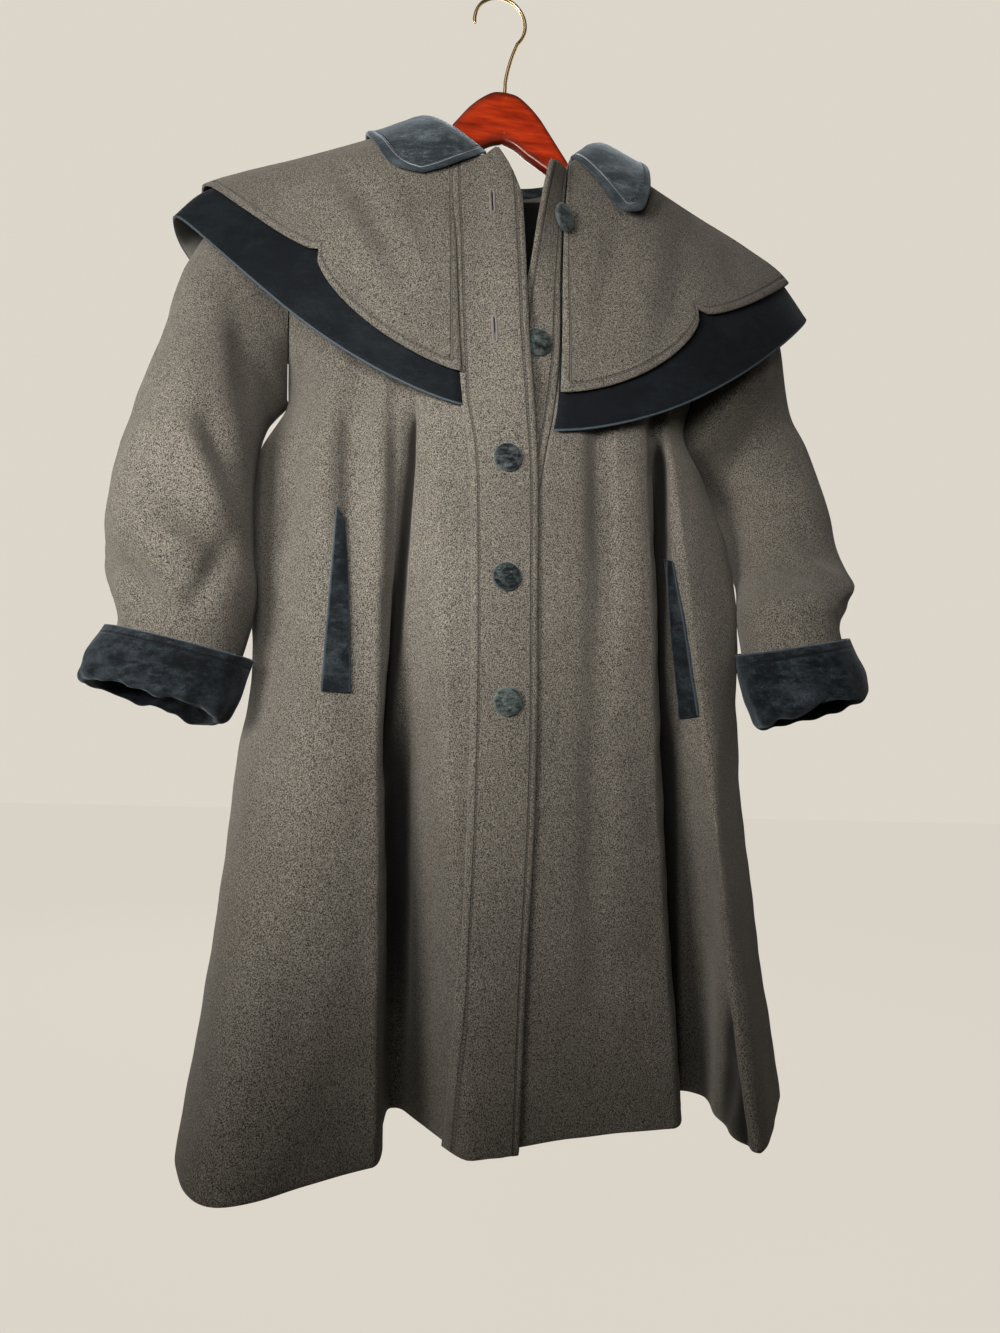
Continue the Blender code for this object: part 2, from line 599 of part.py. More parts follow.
def collar_surface(around, across):
    """The collar: a short stand at the neck, a roll, and a fall with round ends over the capes."""
    reach, stand = read(COLLAR, "reach", around), read(COLLAR, "stand", around)
    lift = read(COLLAR, "lift", around)
    right = -cape_angle(COLLAR_END_RIGHT_X, 0.0)
    left = cape_angle(COLLAR_END_LEFT_X, 0.0)
    phi = -right - (2 * HALF_TURN - right - left) * around
    turn = read(COLLAR, "turn", around)

    def over(share, height):
        angle = phi + turn * share / reach
        return lifted(cape_point, angle, np.broadcast_to(share, phi.shape), height, 1)

    neck = cape_point(phi, np.zeros_like(phi))
    rise = np.zeros_like(neck)
    rise[..., 2] = 1.0
    shape = (
        neck + rise * COLLAR_FOOT,
        neck + rise * (COLLAR_FOOT + 0.7 * stand)[..., None],
        over(0.12 * reach, 0.0060 + 0.75 * stand),
        over(0.40 * reach, 0.0100 + 0.40 * lift),
        over(0.72 * reach, 0.0090 + 0.75 * lift),
        over(reach, 0.0085 + lift),
    )
    places = np.arange(len(shape)) / (len(shape) - 1)
    total = 0.0
    for index, points in enumerate(shape):
        weight = curve_through(across, places, np.eye(len(shape))[index])
        total = total + weight[..., None] * points
    return total


def collar_piece(name, material):
    """The collar's wall, lifted off its own surface."""
    ease = np.linspace(-1.0, 1.0, 35)
    around = 0.5 + 0.5 * np.sign(ease) * (1 - (1 - np.abs(ease)) ** 1.35)
    around = np.broadcast_to(np.clip(around, 0.002, 0.998), (8, 35))
    across = np.broadcast_to(np.linspace(0.002, 0.998, 8)[:, None], (8, 35))
    outer = lifted(collar_surface, around, across, VELVET / 2, -1)
    cloth(name, outer, lifted(collar_surface, around, across, -VELVET / 2, -1), material)


def sleeve_surface(side):
    """A sleeve as a function: sections that fan round the underarm from the armhole to the cuff."""

    def surface(turn, place):
        turn, place = np.broadcast_arrays(turn, place)
        hang = -side * SLEEVE_OFFSET * smooth_step(place, 2.5, 8.0)
        inner_x, outer_x = read(SLEEVE, "inner_x", place), read(SLEEVE, "outer_x", place)
        inner_drop = read(SLEEVE, "inner_drop", place) + hang
        outer_drop = read(SLEEVE, "outer_drop", place) + hang
        deep = read(SLEEVE, "half_depth", place)
        out, front = oval(turn, 1.0, 1.0, SLEEVE_FULLNESS)[::-1]
        out = -out
        own = HANG[side]
        low, wrist = smooth_step(place, 1.0, 4.5), smooth_step(place, 6.3, 7.5)
        narrow = 1 + (own.sleeve_share - 1) * low + (WRIST_SHARE * own.cuff_share - own.sleeve_share) * wrist
        shift = own.sleeve_out * low + (own.cuff_out - own.sleeve_out) * wrist
        x = (inner_x + outer_x) / 2 + shift + out * narrow * (outer_x - inner_x) / 2
        drop = (inner_drop + outer_drop) / 2 + out * (outer_drop - inner_drop) / 2
        drop = drop + (own.cuff_low - own.cuff_tilt * front * deep) * smooth_step(place, 7.5, 9.0)
        hung_back = own.sleeve_back * smooth_step(place, 1.5, 3.5) * (1 - smooth_step(place, 5.2, 7.4))
        centre_y = read(SLEEVE, "y", place) + hung_back
        y = centre_y - front * deep * narrow
        at_armhole = 1 - smooth_step(place, 0.0, 1.0)
        arm_drop = (SHOULDER + UNDERARM) / 2 - np.cos(turn) * (UNDERARM - SHOULDER) / 2
        arm_x = np.interp(arm_drop, (SHOULDER, UNDERARM), (ARMHOLE_TOP_X, ARMHOLE_LOW_X)) + 2 * SEAM
        reach = body_reach(arm_x - 3 * SEAM, arm_drop, np.sign(front))
        x = x * (1 - at_armhole) + arm_x * at_armhole
        drop = drop * (1 - at_armhole) + arm_drop * at_armhole
        y = y * (1 - at_armhole) - np.sign(front) * reach * at_armhole
        centre_x, centre_drop = (inner_x + outer_x) / 2 + shift, (inner_drop + outer_drop) / 2
        sink = dent_depth(side, turn, place) / 0.065
        x = x + (centre_x - x) * sink
        drop = drop + (centre_drop - drop) * sink
        y = y + (centre_y - y) * sink
        return np.stack((side * x, y, -drop), axis=-1)

    return surface


def dent_depth(side, turn, place):
    """Depth of a sleeve's soft dents, each a trough that fades at its ends."""
    total = np.zeros_like(place)
    for dent in DENTS:
        if dent.side == side:
            run_turn = dent.turn_end - dent.turn_start
            run_place = dent.place_end - dent.place_start
            from_turn = np.mod(turn, 2 * HALF_TURN) - dent.turn_start
            from_place = place - dent.place_start
            size = run_turn**2 + run_place**2
            along = (from_turn * run_turn + from_place * run_place) / size
            aside = (from_turn * run_place - from_place * run_turn) / math.sqrt(size)
            trough = np.exp(-((aside / dent.wide) ** 2)) * np.exp(-((2 * along - 1) ** 4))
            total = total + dent.deep * trough
    return total


def sleeve_piece(name, side, material):
    """A sleeve's wall."""
    surface = sleeve_surface(side)
    turn = np.linspace(0.0, 2 * HALF_TURN, 23)[:-1]
    place = np.concatenate(([0.0, 0.4], np.linspace(1.0, 9.0, 11)))[:, None]
    turn = np.broadcast_to(turn, (len(place), 22))
    inner = lifted(surface, turn, place, -WOOL, -side)
    inner[0, :, 0] = np.maximum(np.abs(inner[0, :, 0]), np.abs(surface(turn, place)[0, :, 0])) * side
    cloth(name, surface(turn, place), inner, material, ring=True)


def cuff_surface(side):
    """A turned-back cuff as a function: its outer wall, the fold at the bottom and its lining."""

    def surface(turn, place):
        turn, place = np.broadcast_arrays(turn, place)
        along, half = read(CUFF, "along", place), read(CUFF, "half", place)
        out, front = oval(turn, 1.0, 1.0, SLEEVE_FULLNESS)[::-1]
        inner = [a + (b - a) * along for a, b in zip(CUFF_TOP_INNER, CUFF_LOW_INNER)]
        outer = [a + (b - a) * along for a, b in zip(CUFF_TOP_OUTER, CUFF_LOW_OUTER)]
        size = np.hypot(outer[0] - inner[0], outer[1] - inner[1])
        own = HANG[side]
        half = half * own.cuff_share
        x = (inner[0] + outer[0]) / 2 + own.cuff_out - out * half * (outer[0] - inner[0]) / size
        drop = (inner[1] + outer[1]) / 2 - out * half * (outer[1] - inner[1]) / size
        drop = drop - own.cuff_tilt * front * half * along + own.cuff_low * along
        y = CUFF_Y_TOP + (CUFF_Y_LOW - CUFF_Y_TOP) * along - front * half * CUFF_DEPTH_SHARE
        return np.stack((side * x, y, -drop + side * SLEEVE_OFFSET), axis=-1)

    return surface


def cuff_piece(name, side, material):
    """A cuff's wall."""
    surface = cuff_surface(side)
    turn = np.linspace(0.0, 2 * HALF_TURN, 23)[:-1]
    place = np.array((0.0, 1.0, 2.0, 3.0, 4.0, 5.0, 6.0, 7.0))[:, None]
    turn = np.broadcast_to(turn, (len(place), 22))
    cloth(name, surface(turn, place), lifted(surface, turn, place, -VELVET, -side), material, ring=True)


def welt_piece(welt, material):
    """A pocket welt, made from the front's points moved out."""
    across = np.linspace(0.0, 1.0, 4)
    down = np.linspace(0.0, 1.0, 9)[:, None]
    x_top, drop_top = [a + (b - a) * across for a, b in zip(welt.outer_top, welt.inner_top)]
    x_low, drop_low = [a + (b - a) * across for a, b in zip(welt.outer_low, welt.inner_low)]
    x = x_top + (x_low - x_top) * down
    drop = drop_top + (drop_low - drop_top) * down
    theta = front_angle(x, drop)
    outer = lifted(body_surface, theta, drop, WELT_LIFT + VELVET)
    cloth(welt.name, outer, lifted(body_surface, theta, drop, WELT_LIFT), material)


def button_piece(button, material):
    """A covered button: a turned dome with a flat back, facing out of the front."""
    profile = [(0.0, 0.0), (BUTTON_RADIUS - 0.001, 0.0), (BUTTON_RADIUS, BUTTON_RIM / 2)]
    for step in range(4):
        angle = step / 3 * HALF_TURN / 2
        radius = BUTTON_RADIUS * math.cos(angle)
        height = BUTTON_RIM + (BUTTON_RISE - BUTTON_RIM) * math.sin(angle)
        profile.append((radius, height))
    mesh = bpy.data.meshes.new(button.name)
    edges = [(i, i + 1) for i in range(len(profile) - 1)]
    mesh.from_pydata([(radius, 0.0, height) for radius, height in profile], edges, [])
    item = piece(button.name, mesh, material)
    spin = item.modifiers.new("Spin", "SCREW")
    spin.steps = 18
    spin.render_steps = 18
    spin.use_merge_vertices = True
    spin.merge_threshold = 0.0001
    spin.use_normal_calculate = True
    drop = np.array(button.drop)
    theta = front_angle(button.x, drop)
    back = lifted(body_surface, theta, drop, button.stand)
    out = Vector(back - body_surface(theta, drop))
    item.location = back.tolist()
    item.rotation_euler = out.to_track_quat("Z", "Y").to_euler()
    item.rotation_euler.rotate_axis("Y", button.turn)


def hanger_wood(name, material):
    """The hanger's wood: a flat outline with rounded edges."""
    reach = HANGER[-1].x
    x = np.concatenate((np.linspace(-reach, reach, 33), np.linspace(reach, -reach, 21)))
    on_top = np.arange(len(x)) < 33
    rise = np.where(on_top, read(HANGER, "top", np.abs(x)), read(HANGER, "under", np.abs(x)))
    outline = bpy.data.curves.new(name, "CURVE")
    outline.dimensions = "2D"
    outline.fill_mode = "BOTH"
    outline.extrude = HANGER_THICKNESS / 2
    spline = outline.splines.new("POLY")
    spline.points.add(len(x) - 1)
    for point, px, pz in zip(spline.points, x, -rise):
        point.co = (px, pz, 0.0, 1.0)
    spline.use_cyclic_u = True
    item = piece(name, outline, material)
    item.rotation_euler = (HALF_TURN / 2, 0.0, 0.0)
    item.modifiers.new("Weld", "WELD").merge_threshold = 0.00001
    rounding = item.modifiers.new("Round", "BEVEL")
    rounding.width = HANGER_ROUND
    rounding.segments = 2
    rounding.limit_method = "ANGLE"
    rounding.angle_limit = 1.0


def hanger_hook(name, material):
    """The hook's wire: a stem, a bend outward and a round loop."""
    sweep = np.linspace(-0.75, 3.35, 30)
    loop_x = HOOK_CENTRE_X + HOOK_RADIUS * np.cos(sweep)
    loop_z = HOOK_CENTRE_Z + HOOK_RADIUS * np.sin(sweep)
    rise = np.linspace(0.0, 1.0, 12)[:-1]
    bend = np.clip((rise - 0.22) / 0.78, 0.0, 1.0)
    stem_x = loop_x[0] * bend * (0.45 + 0.55 * bend)
    foot = SEAM - HANGER[0].top
    stem_z = foot + (loop_z[0] - foot) * rise
    wire = bpy.data.curves.new(name, "CURVE")
    wire.dimensions = "3D"
    wire.bevel_depth = WIRE_RADIUS
    wire.bevel_resolution = 1
    wire.use_fill_caps = True
    spline = wire.splines.new("POLY")
    path_x, path_z = np.concatenate((stem_x, loop_x)), np.concatenate((stem_z, loop_z))
    spline.points.add(len(path_x) - 1)
    for point, px, pz in zip(spline.points, path_x, path_z):
        point.co = (px, 0.0, pz, 1.0)
    piece(name, wire, material)


for old in list(bpy.data.objects):
    bpy.data.objects.remove(old, do_unlink=True)

coat = bpy.data.collections.new("cape_coat")
bpy.context.scene.collection.children.link(coat)
seat = bpy.data.objects.new("seat", None)
coat.objects.link(seat)
seat.location = (-HOOK_CENTRE_X, 0.0, -HOOK_SEAT)

wool_cloth = finish("wool", (0.110, 0.098, 0.080), 0.95)
velvet_cloth = finish("velvet", (0.014, 0.019, 0.026), 0.85)
lacquered_wood = finish("wood", (0.300, 0.050, 0.014), 0.20)
brassed_wire = finish("brass", (0.640, 0.450, 0.190), 0.30, 1.0)

front_panel("front_right", RIGHT, "placket_seam", wool_cloth)
front_panel("front_left", LEFT, "underlap_seam", wool_cloth)
back_panel("back", wool_cloth)
band("placket_right", placket_surface, PLACKET, PLACKET_LIFT, PLACKET_LIFT + DOUBLED, 1, wool_cloth)
band("underlap_left", underlap_surface, UNDERLAP, -DOUBLED, 0.0, -1, wool_cloth)
cape_layers(velvet_cloth, wool_cloth)
collar_piece("collar", velvet_cloth)
sleeve_piece("sleeve_right", RIGHT, wool_cloth)
sleeve_piece("sleeve_left", LEFT, wool_cloth)
cuff_piece("cuff_right", RIGHT, velvet_cloth)
cuff_piece("cuff_left", LEFT, velvet_cloth)
for welt in WELTS:
    welt_piece(welt, velvet_cloth)
for button in BUTTONS:
    button_piece(button, velvet_cloth)
hanger_wood("hanger_wood", lacquered_wood)
hanger_hook("hanger_hook", brassed_wire)
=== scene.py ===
"""The looks of a charcoal wool cape coat with navy velvet trim, on its lacquered wooden hanger.

Every cloth piece is a thin wall on the surface its solid has, worked out again from the same sizes
and tables at a finer spacing, with creases, rubbed edges and sewing added. Drops are metres below
the datum of the hanger, and ROW moves that datum into the row's frame.
"""

import math
from collections import namedtuple

import bpy
import numpy as np
from mathutils import Matrix, Vector


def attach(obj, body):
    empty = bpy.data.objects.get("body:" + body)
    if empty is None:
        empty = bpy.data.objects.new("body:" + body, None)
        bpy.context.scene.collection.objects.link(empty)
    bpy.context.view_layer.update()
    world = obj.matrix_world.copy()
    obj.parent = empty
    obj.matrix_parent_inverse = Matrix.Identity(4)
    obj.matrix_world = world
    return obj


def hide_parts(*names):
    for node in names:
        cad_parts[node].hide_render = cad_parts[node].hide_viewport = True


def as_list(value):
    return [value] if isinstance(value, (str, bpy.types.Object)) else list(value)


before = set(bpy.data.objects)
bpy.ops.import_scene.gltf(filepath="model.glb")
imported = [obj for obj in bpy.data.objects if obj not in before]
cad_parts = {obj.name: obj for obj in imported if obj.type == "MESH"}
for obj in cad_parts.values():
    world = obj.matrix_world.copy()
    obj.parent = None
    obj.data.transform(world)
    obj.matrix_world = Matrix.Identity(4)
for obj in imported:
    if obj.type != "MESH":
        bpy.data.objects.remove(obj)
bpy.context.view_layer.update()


def table(names, *rows):
    """Rows of values that are read by their names."""
    kind = namedtuple("Row", names)
    return [kind(*row) for row in rows]


# Cloth thicknesses, and the gap left at a seam
WOOL = 0.0025
VELVET = 0.0020
DOUBLED = 0.0042
SEAM = 0.0004

# Coat: drops, X of the armholes, and how the two bands lie and gape
HEM = 0.984
NECK_TOP = 0.0830
BACK_NECK_DIP = 0.010
FRONT_NECK_DIP = 0.021
SHOULDER = 0.143
UNDERARM = 0.345
ARMHOLE_TOP_X = 0.2045
ARMHOLE_LOW_X = 0.1955
BODY_FULLNESS = 2.2
PLACKET_LIFT = 0.0010
PLACKET_GAPE = 0.0092
UNDERLAP_GAPE = 0.0220
PLACKET_FLUSH = 0.0030
UNDERLAP_FLUSH = 0.0070
FLUSH_TO = (0.300, 0.365)
PLACKET_CLOSES = (0.335, 0.395)
PLACKET_GAPES = (0.3, 0.95)
UNDERLAP_CLOSES = (0.13, 0.29)
UNDERLAP_CURL = 1.3
NECK_SLOPE = 1.5

# Half a turn, the step that finds a surface's normal, and the samples that space a row
HALF_TURN = math.pi
STEP = 0.0002
ROW_SAMPLES = 500

# Capes: lobes and notches are shares of the way out to the velvet edge and of the way round
CAPE_FULLNESS = 2.5
EDGE_FOLLOWS = 0.385
CAPE_CLEAR = 0.0080
CAPE_CLEAR_FRONT = 0.0044
CAPE_FRONT_X = (0.045, 0.110)
WOOL_LIFT_NECK = 0.0016
WOOL_LIFT_EDGE = 0.0034
LOBE_FRONT = 0.895
LOBE_SIDE_RIGHT = 0.845
LOBE_SIDE_LEFT = 0.890
LOBE_BACK = 0.885
NOTCH = 0.765
NOTCH_FRONT = 0.084
NOTCH_BACK = 0.391
LOBE_ROUND = 2.0
CAPE_STANDS_BY = 0.020
CAPE_BLEND = 0.25
CAPE_BLEND_TO = 0.016

# Collar
COLLAR_FOOT = 0.0030
COLLAR_END_RIGHT_X = -0.034
COLLAR_END_LEFT_X = 0.046
COLLAR_STAND_SHARE = 0.7
COLLAR_INSET = 0.002
COLLAR_EASE = 1.35

# Sleeves and cuffs
SLEEVE_OFFSET = 0.014
SLEEVE_FULLNESS = 2.15
WRIST_SHARE = 1.016
CUFF_TOP_INNER = (0.2210, 0.577)
CUFF_TOP_OUTER = (0.3460, 0.552)
CUFF_LOW_INNER = (0.2400, 0.636)
CUFF_LOW_OUTER = (0.3630, 0.605)
CUFF_Y_TOP = -0.078
CUFF_Y_LOW = -0.087
CUFF_DEPTH_SHARE = 0.98

# Places along the sleeve between which it comes to hang, narrows, tilts, swings back and swings on
ARM_HANGS = (2.5, 8.0)
ARM_NARROWS = (1.0, 4.5)
WRIST_NARROWS = (6.3, 7.5)
MOUTH_TILTS = (7.5, 9.0)
SWINGS_BACK = (1.5, 3.5)
SWINGS_ON = (5.2, 7.4)
DENT_FULL = 0.065

# Pocket welts
WELT_WIDTH = 0.018
WELT_STAND = 0.0012
WELT_PLUMP = 0.0011
WELT_ROUND = 0.6
WELT_SQUARE = 8

# Buttons: the profile is in shares of the radius and the rise, from the middle of the back to the top
BUTTON_RADIUS = 0.0125
BUTTON_RISE = 0.0058
BUTTON_PROFILE = (
    (0.00, 0.0), (0.80, 0.0), (0.95, 0.04), (1.00, 0.22), (0.985, 0.42),
    (0.90, 0.64), (0.72, 0.83), (0.48, 0.945), (0.24, 0.99), (0.00, 1.00),
)
GATHERS = 11
GATHER_DEPTH = 0.010
GATHER_SHIFT = 90
GATHER_FROM = (0.006, 0.0125)
DOME_FROM = (0.002, 0.004)

# Hanger and hook: the wood's arms close over their last HANGER_END, a wavy joint shows in the middle, and
# the wire sweeps round its loop between two angles
HANGER_THICKNESS = 0.013
HANGER_FULLNESS = 6.0
HANGER_END = 0.006
HANGER_EASE = 1.25
JOINT_WAVE = 0.0012
JOINT_PACE = 260
WIRE_RADIUS = 0.0017
HOOK_RADIUS = 0.026
HOOK_CENTRE_X = -0.008
HOOK_CENTRE_Z = 0.067
HOOK_SWEEP = (-0.75, 3.35)
HOOK_STRAIGHT = 0.22
WIRE_END = (0.94, 0.78, 0.45)

# Sections of the body: half widths to the wearer's right and left, depths of the front and back
BODY = table(
    "drop half_right half_left front back",
    (0.070, 0.059, 0.059, 0.060, 0.030),
    (0.100, 0.119, 0.119, 0.084, 0.044),
    (0.143, 0.205, 0.205, 0.100, 0.058),
    (0.190, 0.226, 0.226, 0.107, 0.068),
    (0.260, 0.222, 0.222, 0.111, 0.078),
    (0.345, 0.196, 0.196, 0.116, 0.085),
    (0.390, 0.218, 0.220, 0.119, 0.088),
    (0.450, 0.223, 0.236, 0.122, 0.091),
    (0.520, 0.222, 0.251, 0.127, 0.095),
    (0.590, 0.215, 0.258, 0.132, 0.098),
    (0.700, 0.223, 0.270, 0.137, 0.104),
    (0.845, 0.234, 0.294, 0.144, 0.112),
    (0.984, 0.249, 0.318, 0.150, 0.122),
)

# Folds of the skirt: places under the cape, half way and at the hem, half widths, and depths inward at
# FOLD_DROPS. A negative depth is a ridge. A fold leans along X as it deepens.
FOLD_DROPS = (0.200, 0.360, 0.660, HEM)
FRONT, BACK = 1, -1
FOLDS = table(
    "face x_top x_middle x_hem wide_top wide_hem top middle hem lean",
    (FRONT, -0.097, -0.078, -0.058, 0.026, 0.040, 0.011, 0.047, 0.104, -0.013),
    (FRONT, -0.130, -0.125, -0.120, 0.020, 0.020, 0.007, 0.000, 0.000, 0.000),
    (FRONT, -0.163, -0.164, -0.165, 0.026, 0.040, -0.008, 0.000, 0.000, 0.000),
    (FRONT, -0.155, -0.157, -0.160, 0.045, 0.050, 0.000, -0.010, 0.000, 0.000),
    (FRONT, 0.077, 0.088, 0.100, 0.020, 0.030, 0.008, 0.002, 0.000, 0.000),
    (FRONT, 0.100, 0.102, 0.105, 0.160, 0.160, 0.000, 0.006, 0.0255, 0.000),
    (FRONT, 0.141, 0.170, 0.215, 0.018, 0.045, 0.015, 0.036, 0.078, 0.001),
    (FRONT, 0.186, 0.216, 0.270, 0.036, 0.044, 0.000, -0.020, -0.084, -0.042),
    (FRONT, 0.190, 0.215, 0.2475, 0.030, 0.0200, 0.000, 0.000, -0.005, -0.020),
    (BACK, -0.085, -0.097, -0.110, 0.030, 0.055, 0.006, 0.026, 0.060, 0.000),
    (BACK, 0.085, 0.107, 0.130, 0.030, 0.055, 0.006, 0.026, 0.060, 0.000),
    (BACK, 0.000, 0.005, 0.010, 0.050, 0.070, 0.000, -0.008, -0.028, 0.000),
)

# Swings of the whole skirt forward, at FOLD_DROPS: the angle, half width and shift along -Y
SWINGS = table("angle wide middle hem", (-1.18, 1.08, 0.038, 0.132))

# Front edges: X of the placket's two edges, of the underlap's edge and of its seam
EDGES = table(
    "drop placket_seam placket_edge underlap_edge underlap_seam",
    (0.076, -0.0640, -0.0200, 0.0290, 0.0600),
    (0.100, -0.0640, -0.0120, 0.0270, 0.0520),
    (0.125, -0.0635, -0.0080, 0.0240, 0.0430),
    (0.166, -0.0630, -0.0045, 0.0160, 0.0380),
    (0.228, -0.0585, 0.0005, 0.0080, 0.0360),
    (0.308, -0.0530, 0.0065, -0.0010, 0.0375),
    (0.360, -0.0480, 0.0135, -0.0070, 0.0350),
    (0.395, -0.0410, 0.0180, -0.0120, 0.0290),
    (0.526, -0.0338, 0.0220, -0.0200, 0.0150),
    (0.700, -0.0305, 0.0255, -0.0100, 0.0190),
    (0.850, -0.0322, 0.0225, -0.0100, 0.0140),
    (0.984, -0.0310, 0.0215, -0.0110, 0.0120),
)

# Ends of the two bands: place across from seam to edge, and drops of the top and the low end
PLACKET = table(
    "across top low",
    (0.00, 0.134, HEM + 0.001),
    (0.25, 0.135, HEM + 0.002),
    (0.52, 0.134, HEM + 0.002),
    (0.72, 0.1245, HEM + 0.003),
    (0.87, 0.146, HEM + 0.003),
    (1.00, 0.172, HEM + 0.004),
)
UNDERLAP = table(
    "across top low",
    (0.05, 0.131, HEM),
    (0.35, 0.131, HEM),
    (0.68, 0.133, HEM),
    (1.00, 0.139, HEM),
)

# Rings of the cape: share of the way out, half widths to the wearer's right and left, drops at the
# two sides, at the two front edges and at the back
CAPE = table(
    "share half_right half_left side_right side_left front_right front_left back",
    (0.00, 0.083, 0.083, 0.0735, 0.0735, 0.143, 0.143, 0.088),
    (0.25, 0.136, 0.136, 0.0970, 0.0970, 0.190, 0.190, 0.148),
    (0.50, 0.196, 0.196, 0.1240, 0.1240, 0.241, 0.243, 0.210),
    (0.72, 0.251, 0.254, 0.1465, 0.1470, 0.296, 0.298, 0.268),
    (0.86, 0.283, 0.290, 0.1640, 0.1660, 0.331, 0.335, 0.304),
    (1.00, 0.307, 0.322, 0.1890, 0.2040, 0.367, 0.379, 0.340),
)

# Fall of the collar: shares of its reach, heights over the cape, and shares of its stand and lift
COLLAR_FALL = table(
    "share height stand lift",
    (0.12, 0.0060, 0.75, 0.00),
    (0.40, 0.0100, 0.00, 0.40),
    (0.72, 0.0090, 0.00, 0.75),
    (1.00, 0.0085, 0.00, 1.00),
)

# Collar from its right end round the back to its left end: how far it reaches over the cape, the
# height of its stand, how far its edge is lifted, and the turn of its fall towards the front
COLLAR = table(
    "around reach stand lift turn",
    (0.00, 0.285, 0.002, 0.000, -0.24),
    (0.02, 0.325, 0.004, 0.000, -0.22),
    (0.05, 0.342, 0.005, 0.000, -0.15),
    (0.11, 0.312, 0.006, 0.000, -0.04),
    (0.18, 0.258, 0.006, 0.000, 0.00),
    (0.26, 0.212, 0.007, 0.001, 0.00),
    (0.50, 0.215, 0.010, 0.001, 0.00),
    (0.74, 0.185, 0.008, 0.002, 0.00),
    (0.83, 0.188, 0.008, 0.004, 0.00),
    (0.91, 0.243, 0.008, 0.008, 0.00),
    (0.96, 0.328, 0.008, 0.010, 0.00),
    (0.98, 0.358, 0.007, 0.009, 0.00),
    (1.00, 0.315, 0.005, 0.007, 0.00),
)

# Sleeve sections: the underarm point, the outer point, then the middle and half depth along Y
SLEEVE = table(
    "place inner_x inner_drop outer_x outer_drop y half_depth",
    (0, 0.1965, 0.345, 0.2055, 0.143, 0.000, 0.050),
    (1, 0.1990, 0.351, 0.2570, 0.168, -0.006, 0.058),
    (2, 0.2060, 0.361, 0.2860, 0.214, -0.014, 0.063),
    (3, 0.2160, 0.377, 0.3030, 0.276, -0.034, 0.066),
    (4, 0.2240, 0.404, 0.3190, 0.345, -0.054, 0.067),
    (5, 0.2260, 0.440, 0.3350, 0.415, -0.069, 0.068),
    (6, 0.2240, 0.479, 0.3410, 0.480, -0.077, 0.068),
    (7, 0.2210, 0.520, 0.3410, 0.522, -0.080, 0.062),
    (8, 0.2290, 0.566, 0.3350, 0.556, -0.081, 0.0550),
    (9, 0.2410, 0.618, 0.3525, 0.592, -0.084, 0.0555),
)

# Soft dents of the sleeves: side, where each runs from and to as angle and place, width and depth
RIGHT, LEFT = -1, 1
DENTS = table(
    "side turn_start place_start turn_end place_end wide deep",
    (RIGHT, 1.05, 5.3, 2.60, 6.6, 0.40, 0.009),
    (RIGHT, 0.10, 6.4, 1.20, 7.4, 0.35, 0.008),
    (LEFT, 1.30, 5.6, 2.70, 6.7, 0.45, 0.007),
    (LEFT, 0.20, 6.6, 1.00, 7.2, 0.35, 0.006),
)

# How each sleeve and its cuff hang: shares of the width, shifts away from the body, back and down, and
# the tilt of the cuff's mouth towards the front
Hang = namedtuple("Hang", "sleeve_share sleeve_out sleeve_back cuff_share cuff_out cuff_low cuff_tilt")
HANG = {
    RIGHT: Hang(1.03, -0.005, 0.000, 0.97, -0.011, -0.009, 0.14),
    LEFT: Hang(0.95, 0.0246, 0.068, 0.84, 0.005, 0.003, 0.23),
}

# Cuff wall: half width and place along the cuff, from the outer top edge round to the lining
CUFF = table(
    "place half along",
    (0, 0.0640, 0.00),
    (1, 0.0652, 0.45),
    (2, 0.0640, 0.88),
    (3, 0.0605, 1.02),
    (4, 0.0555, 1.06),
    (5, 0.0508, 1.00),
    (6, 0.0488, 0.72),
    (7, 0.0480, 0.36),
)

# Welts: X and drop of the four corners, top outer, top inner, low outer, low inner
WELTS = table(
    "name outer_top inner_top outer_low inner_low",
    ("welt_right", (-0.1500, 0.456), (-0.1415, 0.466), (-0.1555, 0.614), (-0.1325, 0.614)),
    ("welt_left", (0.1640, 0.478), (0.1560, 0.474), (0.1910, 0.620), (0.1775, 0.623)),
)

# Buttons on the underlap and the placket: X, drop, stand off the body's surface, and tilt
BUTTONS = table(
    "name x drop stand turn",
    ("button_1", 0.0325, 0.189, 0.0170, 0.60),
    ("button_2", 0.0150, 0.301, 0.0080, 0.00),
    ("button_3", -0.0080, 0.406, 0.0060, 0.00),
    ("button_4", -0.0060, 0.510, 0.0060, 0.00),
    ("button_5", -0.0020, 0.616, 0.0060, 0.00),
)

# Hanger outline: half profiles of the top and the underside
HANGER = table(
    "x top under",
    (0.000, 0.0055, 0.0555),
    (0.012, 0.0073, 0.0595),
    (0.024, 0.0150, 0.0672),
    (0.036, 0.0265, 0.0735),
    (0.046, 0.0395, 0.0790),
    (0.056, 0.0530, 0.0845),
    (0.067, 0.0680, 0.0910),
    (0.076, 0.0835, 0.1005),
    (0.088, 0.0975, 0.1110),
    (0.105, 0.1075, 0.1230),
    (0.134, 0.1210, 0.1380),
    (0.175, 0.1400, 0.1580),
    (0.192, 0.1490, 0.1660),
)

# Place of the coat's datum in the row's frame
ROW = np.array((0.008, 0.0, -0.0913))

